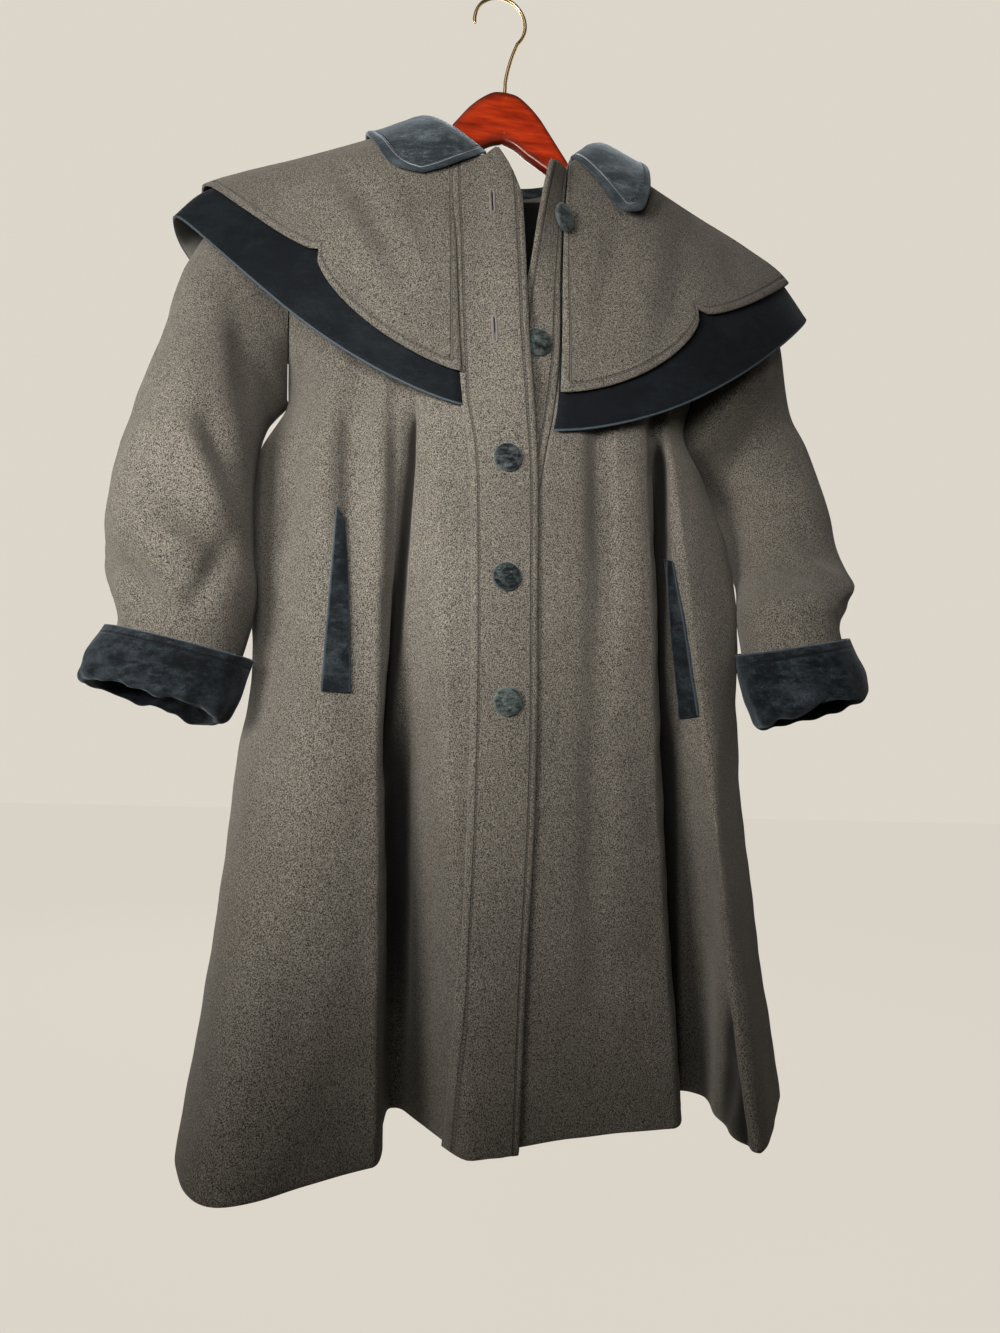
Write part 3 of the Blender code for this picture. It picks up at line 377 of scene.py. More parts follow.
# Cloth spacing: rows and columns of the pieces' grids, and points round and along the small pieces
FRONT_GRID = (200, 210)
BACK_GRID = (170, 130)
BAND_GRID = (260, 20)
CAPE_ROWS = 60
CAPE_STEPS = (24, 66, 48, 66, 24)
COLLAR_GRID = (44, 190)
SLEEVE_GRID = (150, 110)
CUFF_GRID = (84, 150)
WELT_GRID = (60, 14)
BUTTON_GRID = (44, 64)
HOLE_GRID = (10, 96)
HANGER_GRID = (161, 64)
HOOK_STEPS = (60, 120)
WIRE_SIDES = 16
EDGE_ROUND = 0.40

# Lengths in metres of the cloth's edges and widths, which place the sewing and the rubbed edges, and the
# place on the cuff's wall where its outside ends
PLACKET_WIDTH = 0.058
UNDERLAP_WIDTH = 0.036
VELVET_AROUND = 1.75
WOOL_AROUND = 1.55
CAPE_LENGTH = 0.27
COLLAR_AROUND = 0.62
COLLAR_LENGTH = 0.105
CUFF_LENGTH = 0.060
CUFF_HALF = 0.063
CUFF_FOLD = 3.0

# Unevenness of the pieces: heights, wave lengths and seeds, then the plump bands and the collar's roll
UNEVEN = {
    "body": ((0.0011, 0.16, 3), (0.0005, 0.05, 4)),
    "band": ((0.0004, 0.09, 8),),
    "cape": ((0.0010, 0.13, 12),),
    "collar": ((0.0007, 0.045, 21),),
    "sleeve": ((0.0012, 0.10, 31), (0.0005, 0.04, 33)),
    "cuff": ((0.0024, 0.060, 41), (0.0016, 0.024, 43)),
    "cuff_all_over": ((0.0006, 0.05, 45),),
    "button": ((0.00022, 0.012, 51),),
}
WAVES = 8
WAVE_SPANS = (0.6, 1.7)
WAVES_HIGH = 2.8
BAND_PLUMP = 0.0007
RUMPLE_FROM = (0.0, 0.03)
ROLL_HEIGHT = 0.0011
ROLL_AT = 0.0035
ROLL_HALF = 0.0034
ROLL_FROM = (0.45, 0.65)

# Drops and distances between which the creases set in: below the capes, beside the bands, out from the
# neck, along a sleeve, over its inner side, along a cuff and up to its inside
BELOW_CAPES = (0.335, 0.385)
BESIDE_BANDS = (0.050, 0.085)
FROM_NECK = (0.10, 0.35)
FROM_ARMHOLE = (0.6, 2.0)
TO_CUFF = (7.4, 8.2)
FROM_BODY = (-0.060, -0.022)
DOWN_CUFF = (0.12, 0.75)
INTO_CUFF = (4.0, 5.2)

# Creases: the piece, its face, where each runs from and to as X and drop, half width and depth
CREASES = table(
    "piece face x_start drop_start x_end drop_end wide deep",
    ("cape", FRONT, -0.156, 0.150, -0.094, 0.275, 0.013, 0.0050),
    ("cape", FRONT, -0.176, 0.160, -0.130, 0.250, 0.012, -0.0026),
    ("cape", FRONT, -0.099, 0.175, -0.080, 0.235, 0.010, 0.0026),
    ("cape", FRONT, -0.215, 0.165, -0.200, 0.225, 0.014, 0.0024),
    ("cape", FRONT, 0.092, 0.160, 0.070, 0.300, 0.014, 0.0038),
    ("cape", FRONT, 0.128, 0.180, 0.108, 0.300, 0.014, -0.0030),
    ("cape", FRONT, 0.160, 0.165, 0.142, 0.270, 0.012, 0.0026),
    ("cape", FRONT, 0.214, 0.165, 0.216, 0.225, 0.013, 0.0022),
    ("cape", BACK, -0.120, 0.130, -0.105, 0.270, 0.016, 0.0034),
    ("cape", BACK, -0.040, 0.120, -0.052, 0.250, 0.015, 0.0024),
    ("cape", BACK, 0.060, 0.130, 0.075, 0.280, 0.016, 0.0032),
    ("cape", BACK, 0.150, 0.140, 0.170, 0.240, 0.014, 0.0028),
    ("sleeve_right", FRONT, -0.262, 0.388, -0.214, 0.470, 0.013, 0.0087),
    ("sleeve_right", FRONT, -0.282, 0.400, -0.236, 0.486, 0.012, -0.0051),
    ("sleeve_right", FRONT, -0.330, 0.495, -0.276, 0.572, 0.012, 0.0080),
    ("sleeve_right", FRONT, -0.226, 0.486, -0.262, 0.556, 0.010, 0.0070),
    ("sleeve_right", FRONT, -0.300, 0.470, -0.246, 0.545, 0.014, -0.0043),
    ("sleeve_right", FRONT, -0.240, 0.300, -0.222, 0.390, 0.014, 0.0052),
    ("sleeve_right", BACK, -0.300, 0.420, -0.240, 0.500, 0.014, 0.0072),
    ("sleeve_right", BACK, -0.330, 0.500, -0.260, 0.555, 0.012, 0.0064),
    ("sleeve_left", FRONT, 0.328, 0.520, 0.272, 0.464, 0.012, 0.0041),
    ("sleeve_left", FRONT, 0.344, 0.545, 0.290, 0.520, 0.010, 0.0032),
    ("sleeve_left", FRONT, 0.308, 0.440, 0.254, 0.400, 0.014, 0.0029),
    ("sleeve_left", FRONT, 0.322, 0.490, 0.280, 0.450, 0.012, -0.0023),
    ("sleeve_left", FRONT, 0.268, 0.300, 0.250, 0.380, 0.014, 0.0027),
    ("sleeve_left", BACK, 0.332, 0.430, 0.267, 0.490, 0.014, 0.0039),
    ("sleeve_left", BACK, 0.352, 0.500, 0.292, 0.545, 0.012, 0.0032),
    ("body", FRONT, -0.147, 0.335, -0.142, 0.500, 0.012, 0.0062),
    ("body", FRONT, -0.118, 0.345, -0.116, 0.520, 0.012, -0.0034),
    ("body", FRONT, -0.090, 0.330, -0.092, 0.660, 0.0038, 0.0130),
    ("body", FRONT, -0.190, 0.400, -0.200, 0.560, 0.014, 0.0034),
    ("body", FRONT, -0.150, 0.660, -0.168, 0.900, 0.020, 0.0034),
    ("body", FRONT, -0.200, 0.640, -0.222, 0.860, 0.018, -0.0030),
    ("body", FRONT, 0.083, 0.350, 0.095, 0.560, 0.012, 0.0048),
    ("body", FRONT, 0.112, 0.350, 0.126, 0.560, 0.013, -0.0036),
    ("body", FRONT, 0.144, 0.310, 0.166, 0.670, 0.0042, 0.0150),
    ("body", FRONT, 0.163, 0.590, 0.213, 1.010, 0.0060, 0.0160),
    ("body", FRONT, 0.224, 0.420, 0.236, 0.580, 0.020, -0.0090),
    ("body", FRONT, -0.090, 0.600, -0.062, 1.010, 0.0090, 0.0110),
    ("body", FRONT, 0.070, 0.560, 0.090, 0.880, 0.020, 0.0030),
    ("body", FRONT, 0.215, 0.640, 0.240, 0.900, 0.016, 0.0032),
    ("body", BACK, -0.040, 0.380, -0.052, 0.760, 0.016, 0.0036),
    ("body", BACK, 0.046, 0.400, 0.062, 0.700, 0.015, 0.0030),
    ("body", BACK, -0.150, 0.420, -0.178, 0.820, 0.018, 0.0036),
    ("body", BACK, 0.165, 0.420, 0.200, 0.860, 0.018, 0.0034),
)

# Buttonholes on the placket: place across the band, drops of the two ends, then the loop and its thread
HOLES = table("across top low", (0.590, 0.169, 0.190), (0.545, 0.283, 0.306))
HOLE_HALF = 0.0016
HOLE_WHIP = 0.0010
HOLE_LEVEL = PLACKET_LIFT + DOUBLED + 0.0012
SLIT_BELOW = 0.0004
HOLE_SQUARE = 0.28
HOLE_FULL = 0.60

# Photograph's frame and camera
IMAGE_HEIGHT = 1333
FOCAL_PIXELS = 1000
SENSOR = 36.0
CAMERA_AT = np.array((-0.18684, -0.95796, -0.62640))
CAMERA_YAW = math.radians(12.21)
CAMERA_PITCH = math.radians(2.72)
CAMERA_ROLL = math.radians(2.47)

# Brightness of the room: as it lights the coat, and as the camera sees it
LIT_BY_ROOM = 0.06
ROOM_SEEN = 0.80
ROOM_TONE = (0.90, 0.84, 0.74)

# Floor: its height, the share of it that the camera sees as pale as the room, and its size
FLOOR_Z = -1.42
FLOOR_PALE = 0.96
FLOOR_HALF = 6.0
FLOOR_POINTS = 13

# Lamps: square areas at a place, turned towards a point, with size, power in watts and spread in degrees
LAMP_TONE = (1.0, 0.96, 0.90)
LAMPS = table(
    "name at towards size power spread",
    ("key_lamp", (-0.78, -0.90, -0.46), (-0.14, -0.10, -0.50), 0.36, 8.0, 80.0),
    ("near_lamp", (-0.25, -0.90, -0.46), (-0.03, -0.10, -0.54), 0.25, 2.2, 70.0),
    ("top_lamp", (-0.9, -1.6, 1.1), (0.0, 0.0, -0.4), 1.2, 6.0, 180.0),
    ("side_lamp", (2.1, 0.5, 0.1), (0.0, 0.0, -0.5), 1.4, 10.0, 180.0),
    ("back_lamp", (-0.3, 2.2, 0.3), (0.0, 0.0, -0.5), 1.6, 62.0, 180.0),
)

# Tones of the cloths, half widths of a sewn groove in wool and velvet, the pitch of a stitch, and the
# depths of a tuck between which the wool is darkened by painted shade
WOOL_DARK = (0.0045, 0.0041, 0.0035)
WOOL_LIGHT = (0.104, 0.0960, 0.0830)
WOOL_SHEEN = (0.84, 0.80, 0.74)
NAVY = (0.0014, 0.0021, 0.0031)
NAVY_RUBBED = (0.019, 0.0255, 0.031)
# The collar's navy tones are paler than the cape's: partly its wear, partly painted sheen where the collar
# catches the light
NAVY_SOFT = (0.0100, 0.0135, 0.0165)
NAVY_PALE = (0.092, 0.112, 0.124)
VELVET_SHEEN = (0.58, 0.68, 0.78)
BUTTON_PALE = (0.050, 0.064, 0.062)
WOOL_GROOVE = 0.0007
VELVET_GROOVE = 0.0009
STITCH = 0.0034
TUCK_SHADE_DEPTHS = (0.0030, 0.0095)
THREAD_TURN = 0.0008


def curve_through(at, knots, values):
    """A smooth curve through values at knots: cubic spans whose slopes are averages of chords."""
    knots = np.asarray(knots, float)
    values = np.asarray(values, float)
    chords = np.diff(values) / np.diff(knots)
    slopes = np.concatenate((chords[:1], (chords[1:] + chords[:-1]) / 2, chords[-1:]))
    at = np.clip(at, knots[0], knots[-1])
    span = np.clip(np.searchsorted(knots, at, side="right") - 1, 0, len(chords) - 1)
    gap = knots[span + 1] - knots[span]
    s = (at - knots[span]) / gap
    ends = values[span] * (1 + 2 * s) * (1 - s) ** 2 + values[span + 1] * s * s * (3 - 2 * s)
    return ends + gap * (slopes[span] * s * (1 - s) ** 2 - slopes[span + 1] * s * s * (1 - s))


def read(rows, name, at):
    """A column of a table, read smoothly at a value of the table's first column."""
    return curve_through(at, [row[0] for row in rows], [getattr(row, name) for row in rows])


def smooth_step(at, start, end):
    """A rise from nought to one between two places."""
    s = np.clip((at - start) / (end - start), 0.0, 1.0)
    return s * s * (3 - 2 * s)


def oval(theta, half, depth, fullness):
    """Plan of a section, theta turning from centre front through the wearer's left side."""
    sine = np.sin(theta)
    cosine = np.cos(theta)
    x = half * np.sign(sine) * np.abs(sine) ** (2 / fullness)
    y = -depth * np.sign(cosine) * np.abs(cosine) ** (2 / fullness)
    return x, y


def body_sizes(sine, cosine, drop):
    """Half width and depth of the body's section towards a side and a face."""
    half = np.where(sine < 0, read(BODY, "half_right", drop), read(BODY, "half_left", drop))
    depth = np.where(cosine > 0, read(BODY, "front", drop), read(BODY, "back", drop))
    return half, depth


def body_surface(theta, drop):
    """The coat's outer surface: oval sections, pushed in and out along Y by the folds."""
    theta, drop = np.broadcast_arrays(theta, drop)
    half, depth = body_sizes(np.sin(theta), np.cos(theta), drop)
    x, y = oval(theta, half, depth, BODY_FULLNESS)
    face = np.where(np.cos(theta) > 0, FRONT, BACK)
    flat_x = x
    for fold in FOLDS:
        ends = (FOLD_DROPS[1], HEM)
        centre = np.interp(drop, FOLD_DROPS[1:], (fold.x_top, fold.x_middle, fold.x_hem))
        wide = np.interp(drop, ends, (fold.wide_top, fold.wide_hem))
        deep = curve_through(drop, FOLD_DROPS, (0.0, fold.top, fold.middle, fold.hem))
        off = np.clip((flat_x - centre) / wide, -1.0, 1.0)
        push = np.where(face == fold.face, 0.5 + 0.5 * np.cos(HALF_TURN * off), 0.0)
        share = np.clip(deep / fold.hem, 0.0, 1.0) if fold.hem else 0.0
        x = x + push * share * fold.lean
        y = y + push * deep * face
    for swing in SWINGS:
        off = np.mod(theta - swing.angle + HALF_TURN, 2 * HALF_TURN) - HALF_TURN
        push = 0.5 + 0.5 * np.cos(HALF_TURN * np.clip(off / swing.wide, -1.0, 1.0))
        y = y - push * curve_through(drop, FOLD_DROPS, (0.0, 0.0, swing.middle, swing.hem))
    return np.stack((x, y, -drop), axis=-1)


def body_reach(x, drop, cosine):
    """Distance from the mid plane to the unfolded body at an X, nought beyond its side."""
    half, depth = body_sizes(x, cosine, drop)
    share = np.clip(np.abs(x) / half, 0.0, 1.0)
    return depth * (1 - share**BODY_FULLNESS) ** (1 / BODY_FULLNESS)


def front_angle(x, drop):
    """Angle on the front of the body's section where its plan reaches an X."""
    half, _ = body_sizes(np.asarray(x), np.ones_like(drop), drop)
    return np.sign(x) * np.arcsin(np.clip(np.abs(x) / half, 0.0, 1.0) ** (BODY_FULLNESS / 2))


def side_angle(drop):
    """Angle from a face's middle to its seam: the shoulder, the armhole, then the side seam."""
    drop = np.asarray(drop, float)
    armhole = np.interp(drop, (SHOULDER, UNDERARM), (ARMHOLE_TOP_X, ARMHOLE_LOW_X)) - SEAM
    cut = front_angle(armhole, drop)
    seam = np.arccos((SEAM / read(BODY, "back", drop)) ** (BODY_FULLNESS / 2))
    open_here = (drop > SHOULDER + 1e-6) & (drop < UNDERARM - 1e-6)
    return np.where(open_here, np.minimum(cut, seam), seam)


def unit(vectors):
    """Vectors made one long."""
    return vectors / np.linalg.norm(vectors, axis=-1, keepdims=True)


def ring_angles(count):
    """Even angles once round, without the last that closes the ring."""
    return np.linspace(0.0, 2 * HALF_TURN, count + 1)[:-1]


def lifted(surface, u, v, lift, turn=1):
    """Points of a surface moved along its normal."""
    u, v = np.broadcast_arrays(np.asarray(u, float), np.asarray(v, float))
    along = surface(u + STEP, v) - surface(u - STEP, v)
    down = surface(u, v + STEP) - surface(u, v - STEP)
    normal = unit(np.cross(down, along) * turn)
    return surface(u, v) + normal * np.broadcast_to(lift, u.shape)[..., None]


def even_columns(surface, start, end, row, count):
    """Angles between two ends of a row, evenly spaced along the folded cloth."""
    dense = np.linspace(start, end, ROW_SAMPLES)
    points = surface(dense, row)
    steps = np.linalg.norm(np.diff(points, axis=0), axis=1)
    length = np.concatenate(([0.0], np.cumsum(steps)))
    return np.interp(np.linspace(0.0, length[-1], count), length, dense)


def band_points(seam, edge, across, drop, stand, flush):
    """The front's surface between a band's seam and edge, moved out, and level with the capes above."""
    x = read(EDGES, seam, drop) * (1 - across) + read(EDGES, edge, drop) * across
    points = body_surface(front_angle(x, drop), drop)
    points[..., 1] -= stand + flush * (1 - smooth_step(drop, *FLUSH_TO))
    return points


def placket_surface(across, drop):
    """The buttonhole band, whose edge stands out above the fastened part."""
    stand = PLACKET_GAPE * (1 - smooth_step(drop, *PLACKET_CLOSES)) * smooth_step(across, *PLACKET_GAPES)
    return band_points("placket_seam", "placket_edge", across, drop, stand, PLACKET_FLUSH)


def underlap_surface(across, drop):
    """The button band, whose edge stands out at the top."""
    stand = UNDERLAP_GAPE * (1 - smooth_step(drop, *UNDERLAP_CLOSES)) * np.abs(across) ** UNDERLAP_CURL
    return band_points("underlap_seam", "underlap_edge", across, drop, stand, UNDERLAP_FLUSH)


def cape_size(name, right, share):
    """A size of the cape's rings on the wearer's right or left."""
    return np.where(right, read(CAPE, name + "_right", share), read(CAPE, name + "_left", share))


def cape_point(phi, share):
    """The lower cape: rings from the neck to the edge, laid over the body's front and back."""
    sine, cosine = np.sin(phi), np.cos(phi)
    right = sine < 0
    half = cape_size("half", right, share)
    side = cape_size("side", right, share)
    low = np.where(cosine > 0, cape_size("front", right, share), read(CAPE, "back", share))
    drop = side + (low - side) * (1 - np.abs(sine) ** (4 / CAPE_FULLNESS))
    depth = np.where(cosine > 0, read(BODY, "front", low), read(BODY, "back", low))
    x, y = oval(phi, half, depth, CAPE_FULLNESS)
    near = np.where(cosine > 0, 1 - smooth_step(np.abs(x), *CAPE_FRONT_X), 0.0)
    clear = CAPE_CLEAR + (CAPE_CLEAR_FRONT - CAPE_CLEAR) * near
    own = np.abs(y) + clear * np.minimum(1.0, np.abs(y) / CAPE_STANDS_BY)
    reach = body_reach(x, drop, cosine)
    lying = reach + clear * np.minimum(1.0, reach / CAPE_STANDS_BY)
    blend = CAPE_BLEND * np.minimum(own + lying, CAPE_BLEND_TO)
    y = 0.5 * (own + lying + np.sqrt((own - lying) ** 2 + blend**2) - blend)
    return np.stack((x, -np.sign(cosine) * y, -drop), axis=-1)


def cape_angle(x, share):
    """Angle of a cape ring where it reaches an X on the front."""
    half = cape_size("half", x < 0, share)
    return np.sign(x) * np.arcsin(np.clip(np.abs(x) / half, 0.0, 0.999) ** (CAPE_FULLNESS / 2))


def cape_edge(seam, share):
    """X of a cape's front edge, which follows a band's seam as far as the wool cape goes."""
    right = seam == "placket_seam"
    low, side = cape_size("front", right, share), cape_size("side", right, share)
    x = read(EDGES, seam, np.minimum(low, EDGE_FOLLOWS))
    drop = side + (low - side) * (1 - (x / cape_size("half", right, share)) ** 2)
    return read(EDGES, seam, np.minimum(drop, EDGE_FOLLOWS))


def cape_surface(around, share):
    """The lower cape from the placket's seam (0) round the back to the underlap's seam (1)."""
    start = -cape_angle(cape_edge("placket_seam", share) - 3 * SEAM, share)
    end = cape_angle(cape_edge("underlap_seam", share) + 3 * SEAM, share)
    return cape_point(-start - (2 * HALF_TURN - start - end) * around, share)


def lobes(around):
    """Scalloped edge of the upper cape: round lobes that meet at notches."""
    half_way = np.minimum(around, 1 - around)
    knots = (0.0, NOTCH_FRONT, NOTCH_BACK)
    centres = (0.0, (NOTCH_FRONT + NOTCH_BACK) / 2, 0.5)
    halves = (NOTCH_FRONT, (NOTCH_BACK - NOTCH_FRONT) / 2, 0.5 - NOTCH_BACK)
    lobe = np.clip(np.searchsorted(knots, half_way, side="right") - 1, 0, 2)
    off = np.abs(half_way - np.take(centres, lobe)) / np.take(halves, lobe)
    beside = np.where(around < 0.5, LOBE_SIDE_RIGHT, LOBE_SIDE_LEFT)
    reach = np.choose(lobe, (LOBE_FRONT, beside, LOBE_BACK))
    return NOTCH + (reach - NOTCH) * (1 - np.clip(off, 0, 1) ** LOBE_ROUND) ** (1 / LOBE_ROUND)


def collar_surface(around, across):
    """The collar: a short stand at the neck, a roll, and a fall with round ends over the capes."""
    reach, stand = read(COLLAR, "reach", around), read(COLLAR, "stand", around)
    lift = read(COLLAR, "lift", around)
    right = -cape_angle(COLLAR_END_RIGHT_X, 0.0)
    left = cape_angle(COLLAR_END_LEFT_X, 0.0)
    phi = -right - (2 * HALF_TURN - right - left) * around
    turn = read(COLLAR, "turn", around)

    def over(share, height):
        angle = phi + turn * share / reach
        return lifted(cape_point, angle, np.broadcast_to(share, phi.shape), height, 1)

    neck = cape_point(phi, np.zeros_like(phi))
    rise = np.zeros_like(neck)
    rise[..., 2] = 1.0
    shape = [neck + rise * COLLAR_FOOT, neck + rise * (COLLAR_FOOT + COLLAR_STAND_SHARE * stand)[..., None]]
    for row in COLLAR_FALL:
        shape.append(over(row.share * reach, row.height + row.stand * stand + row.lift * lift))
    places = np.arange(len(shape)) / (len(shape) - 1)
    total = 0.0
    for index, points in enumerate(shape):
        weight = curve_through(across, places, np.eye(len(shape))[index])
        total = total + weight[..., None] * points
    return total


def sleeve_surface(side):
    """A sleeve as a function: sections that fan round the underarm from the armhole to the cuff."""

    def surface(turn, place):
        turn, place = np.broadcast_arrays(turn, place)
        hang = -side * SLEEVE_OFFSET * smooth_step(place, *ARM_HANGS)
        inner_x, outer_x = read(SLEEVE, "inner_x", place), read(SLEEVE, "outer_x", place)
        inner_drop = read(SLEEVE, "inner_drop", place) + hang
        outer_drop = read(SLEEVE, "outer_drop", place) + hang
        deep = read(SLEEVE, "half_depth", place)
        out, front = oval(turn, 1.0, 1.0, SLEEVE_FULLNESS)[::-1]
        out = -out
        own = HANG[side]
        low, wrist = smooth_step(place, *ARM_NARROWS), smooth_step(place, *WRIST_NARROWS)
        at_wrist = WRIST_SHARE * own.cuff_share - own.sleeve_share
        narrow = 1 + (own.sleeve_share - 1) * low + at_wrist * wrist
        shift = own.sleeve_out * low + (own.cuff_out - own.sleeve_out) * wrist
        x = (inner_x + outer_x) / 2 + shift + out * narrow * (outer_x - inner_x) / 2
        drop = (inner_drop + outer_drop) / 2 + out * (outer_drop - inner_drop) / 2
        drop = drop + (own.cuff_low - own.cuff_tilt * front * deep) * smooth_step(place, *MOUTH_TILTS)
        hung_back = own.sleeve_back * smooth_step(place, *SWINGS_BACK) * (1 - smooth_step(place, *SWINGS_ON))
        centre_y = read(SLEEVE, "y", place) + hung_back
        y = centre_y - front * deep * narrow
        at_armhole = 1 - smooth_step(place, 0.0, 1.0)
        arm_drop = (SHOULDER + UNDERARM) / 2 - np.cos(turn) * (UNDERARM - SHOULDER) / 2
        arm_x = np.interp(arm_drop, (SHOULDER, UNDERARM), (ARMHOLE_TOP_X, ARMHOLE_LOW_X)) + 2 * SEAM
        reach = body_reach(arm_x - 3 * SEAM, arm_drop, np.sign(front))
        x = x * (1 - at_armhole) + arm_x * at_armhole
        drop = drop * (1 - at_armhole) + arm_drop * at_armhole
        y = y * (1 - at_armhole) - np.sign(front) * reach * at_armhole
        centre_x, centre_drop = (inner_x + outer_x) / 2 + shift, (inner_drop + outer_drop) / 2
        sink = dent_depth(side, turn, place) / DENT_FULL
        x = x + (centre_x - x) * sink
        drop = drop + (centre_drop - drop) * sink
        y = y + (centre_y - y) * sink
        return np.stack((side * x, y, -drop), axis=-1)

    return surface


def trough(from_a, from_b, run_a, run_b, wide):
    """A trough one deep along a line: a bell across the line, fading at its two ends."""
    size = run_a**2 + run_b**2
    along = (from_a * run_a + from_b * run_b) / size
    aside = (from_a * run_b - from_b * run_a) / math.sqrt(size)
    return np.exp(-((aside / wide) ** 2)) * np.exp(-((2 * along - 1) ** 4))


def dent_depth(side, turn, place):
    """Depth of a sleeve's soft dents."""
    total = np.zeros_like(place)
    for dent in DENTS:
        if dent.side == side:
            run = dent.turn_end - dent.turn_start, dent.place_end - dent.place_start
            from_turn = np.mod(turn, 2 * HALF_TURN) - dent.turn_start
            total = total + dent.deep * trough(from_turn, place - dent.place_start, *run, dent.wide)
    return total


def cuff_surface(side):
    """A turned-back cuff as a function: its outer wall, the fold at the bottom and its lining."""

    def surface(turn, place):
        turn, place = np.broadcast_arrays(turn, place)
        along, half = read(CUFF, "along", place), read(CUFF, "half", place)
        out, front = oval(turn, 1.0, 1.0, SLEEVE_FULLNESS)[::-1]
        inner = [a + (b - a) * along for a, b in zip(CUFF_TOP_INNER, CUFF_LOW_INNER)]
        outer = [a + (b - a) * along for a, b in zip(CUFF_TOP_OUTER, CUFF_LOW_OUTER)]
        size = np.hypot(outer[0] - inner[0], outer[1] - inner[1])
        own = HANG[side]
        half = half * own.cuff_share
        x = (inner[0] + outer[0]) / 2 + own.cuff_out - out * half * (outer[0] - inner[0]) / size
        drop = (inner[1] + outer[1]) / 2 - out * half * (outer[1] - inner[1]) / size
        drop = drop - own.cuff_tilt * front * half * along + own.cuff_low * along
        y = CUFF_Y_TOP + (CUFF_Y_LOW - CUFF_Y_TOP) * along - front * half * CUFF_DEPTH_SHARE
        return np.stack((side * x, y, -drop + side * SLEEVE_OFFSET), axis=-1)

    return surface


class Reading:
    """A value on a node's socket: sums and products with it add Math nodes to its material."""

    def __init__(self, finish, socket):
        self.finish = finish
        self.socket = socket

    def math(self, operation, first, second):
        return self.finish.node("ShaderNodeMath", {"operation": operation}, {0: first, 1: second})

    def __add__(self, other):
        return self.math("ADD", self, other)

    def __radd__(self, other):
        return self.math("ADD", other, self)

    def __sub__(self, other):
        return self.math("SUBTRACT", self, other)

    def __mul__(self, other):
        return self.math("MULTIPLY", self, other)

    def __truediv__(self, other):
        return self.math("DIVIDE", self, other)


class Finish:
    """A material with its shader, and one method that makes any node of it."""

    def __init__(self, name, **fixed):
        self.material = bpy.data.materials.new(name)
        self.material.use_nodes = True
        self.tree = self.material.node_tree
        self.shader = self.tree.nodes["Principled BSDF"]
        for socket, value in fixed.items():
            self.shader.inputs[socket.replace("_", " ")].default_value = value

    def node(self, kind, settings=None, inputs=None, output=0):
        """A node of a kind: its settings first, then values or links for its sockets."""
        made = self.tree.nodes.new(kind)
        for key, value in (settings or {}).items():
            if key == "stops":
                self.set_stops(made.color_ramp, value)
            else:
                setattr(made, key, value)
        for key, value in (inputs or {}).items():
            self.put(made.inputs[key], value)
        return Reading(self, made.outputs[output])

    def put(self, socket, value):
        """A link or a fixed value on a socket."""
        if isinstance(value, Reading):
            self.tree.links.new(value.socket, socket)
        else:
            socket.default_value = value

    def set_stops(self, ramp, stops):
        """Places and colours of a ramp's stops."""
        while len(ramp.elements) < len(stops):
            ramp.elements.new(1.0)
        for element, (place, colour) in zip(ramp.elements, stops):
            element.position = place
            element.color = (*colour, 1.0)

    def feed(self, socket, value):
        """A varying value into one of the shader's sockets."""
        self.put(self.shader.inputs[socket], value)

    def place(self, stretch=(1.0, 1.0, 1.0)):
        """Object coordinates, stretched along the axes."""
        own = self.node("ShaderNodeTexCoord", output="Object")
        return self.node("ShaderNodeMapping", {}, {"Vector": own, "Scale": stretch})

    def noise(self, where, scale, detail, rough):
        """Soft noise from about nought to one."""
        sizes = {"Vector": where, "Scale": scale, "Detail": detail, "Roughness": rough}
        return self.node("ShaderNodeTexNoise", {}, sizes)

    def step(self, value, start, end):
        """A soft step from nought to one as a value goes from one place to another."""
        ends = {"Value": value, "From Min": start, "From Max": end}
        return self.node("ShaderNodeMapRange", {"interpolation_type": "SMOOTHSTEP"}, ends)

    def mix(self, share, first, second):
        """Two colours mixed by a share."""
        return self.node("ShaderNodeMix", {"data_type": "RGBA"}, {0: share, 6: first, 7: second}, output=2)

    def attribute(self, name):
        """A value carried by the piece's points."""
        return self.node("ShaderNodeAttribute", {"attribute_name": name}, output="Fac")

    def bump(self, height, strength, distance):
        """The shader's normal, tilted by a height."""
        sizes = {"Height": height, "Strength": strength, "Distance": distance}
        self.feed("Normal", self.node("ShaderNodeBump", {}, sizes))

    def sewing(self, at, half, pitch):
        """A sewn line at a distance from the edge: its groove, and the stitches that lie in it."""
        off = self.attribute("edge") - at
        aside = self.node("ShaderNodeMath", {"operation": "ABSOLUTE"}, {0: off})
        groove = self.step(aside, half * 2.4, half * 0.6)
        along = self.attribute("run") / pitch
        turn = self.node("ShaderNodeMath", {"operation": "FRACT"}, {0: along})
        lying = self.step(turn, 0.16, 0.28) * self.step(turn, 0.98, 0.86)
        return groove, lying * self.step(aside, half, half * 0.5)


def colour(tone, share=1.0):
    """A tone made darker or paler by a share, with full cover."""
    return (*(share * part for part in tone), 1.0)


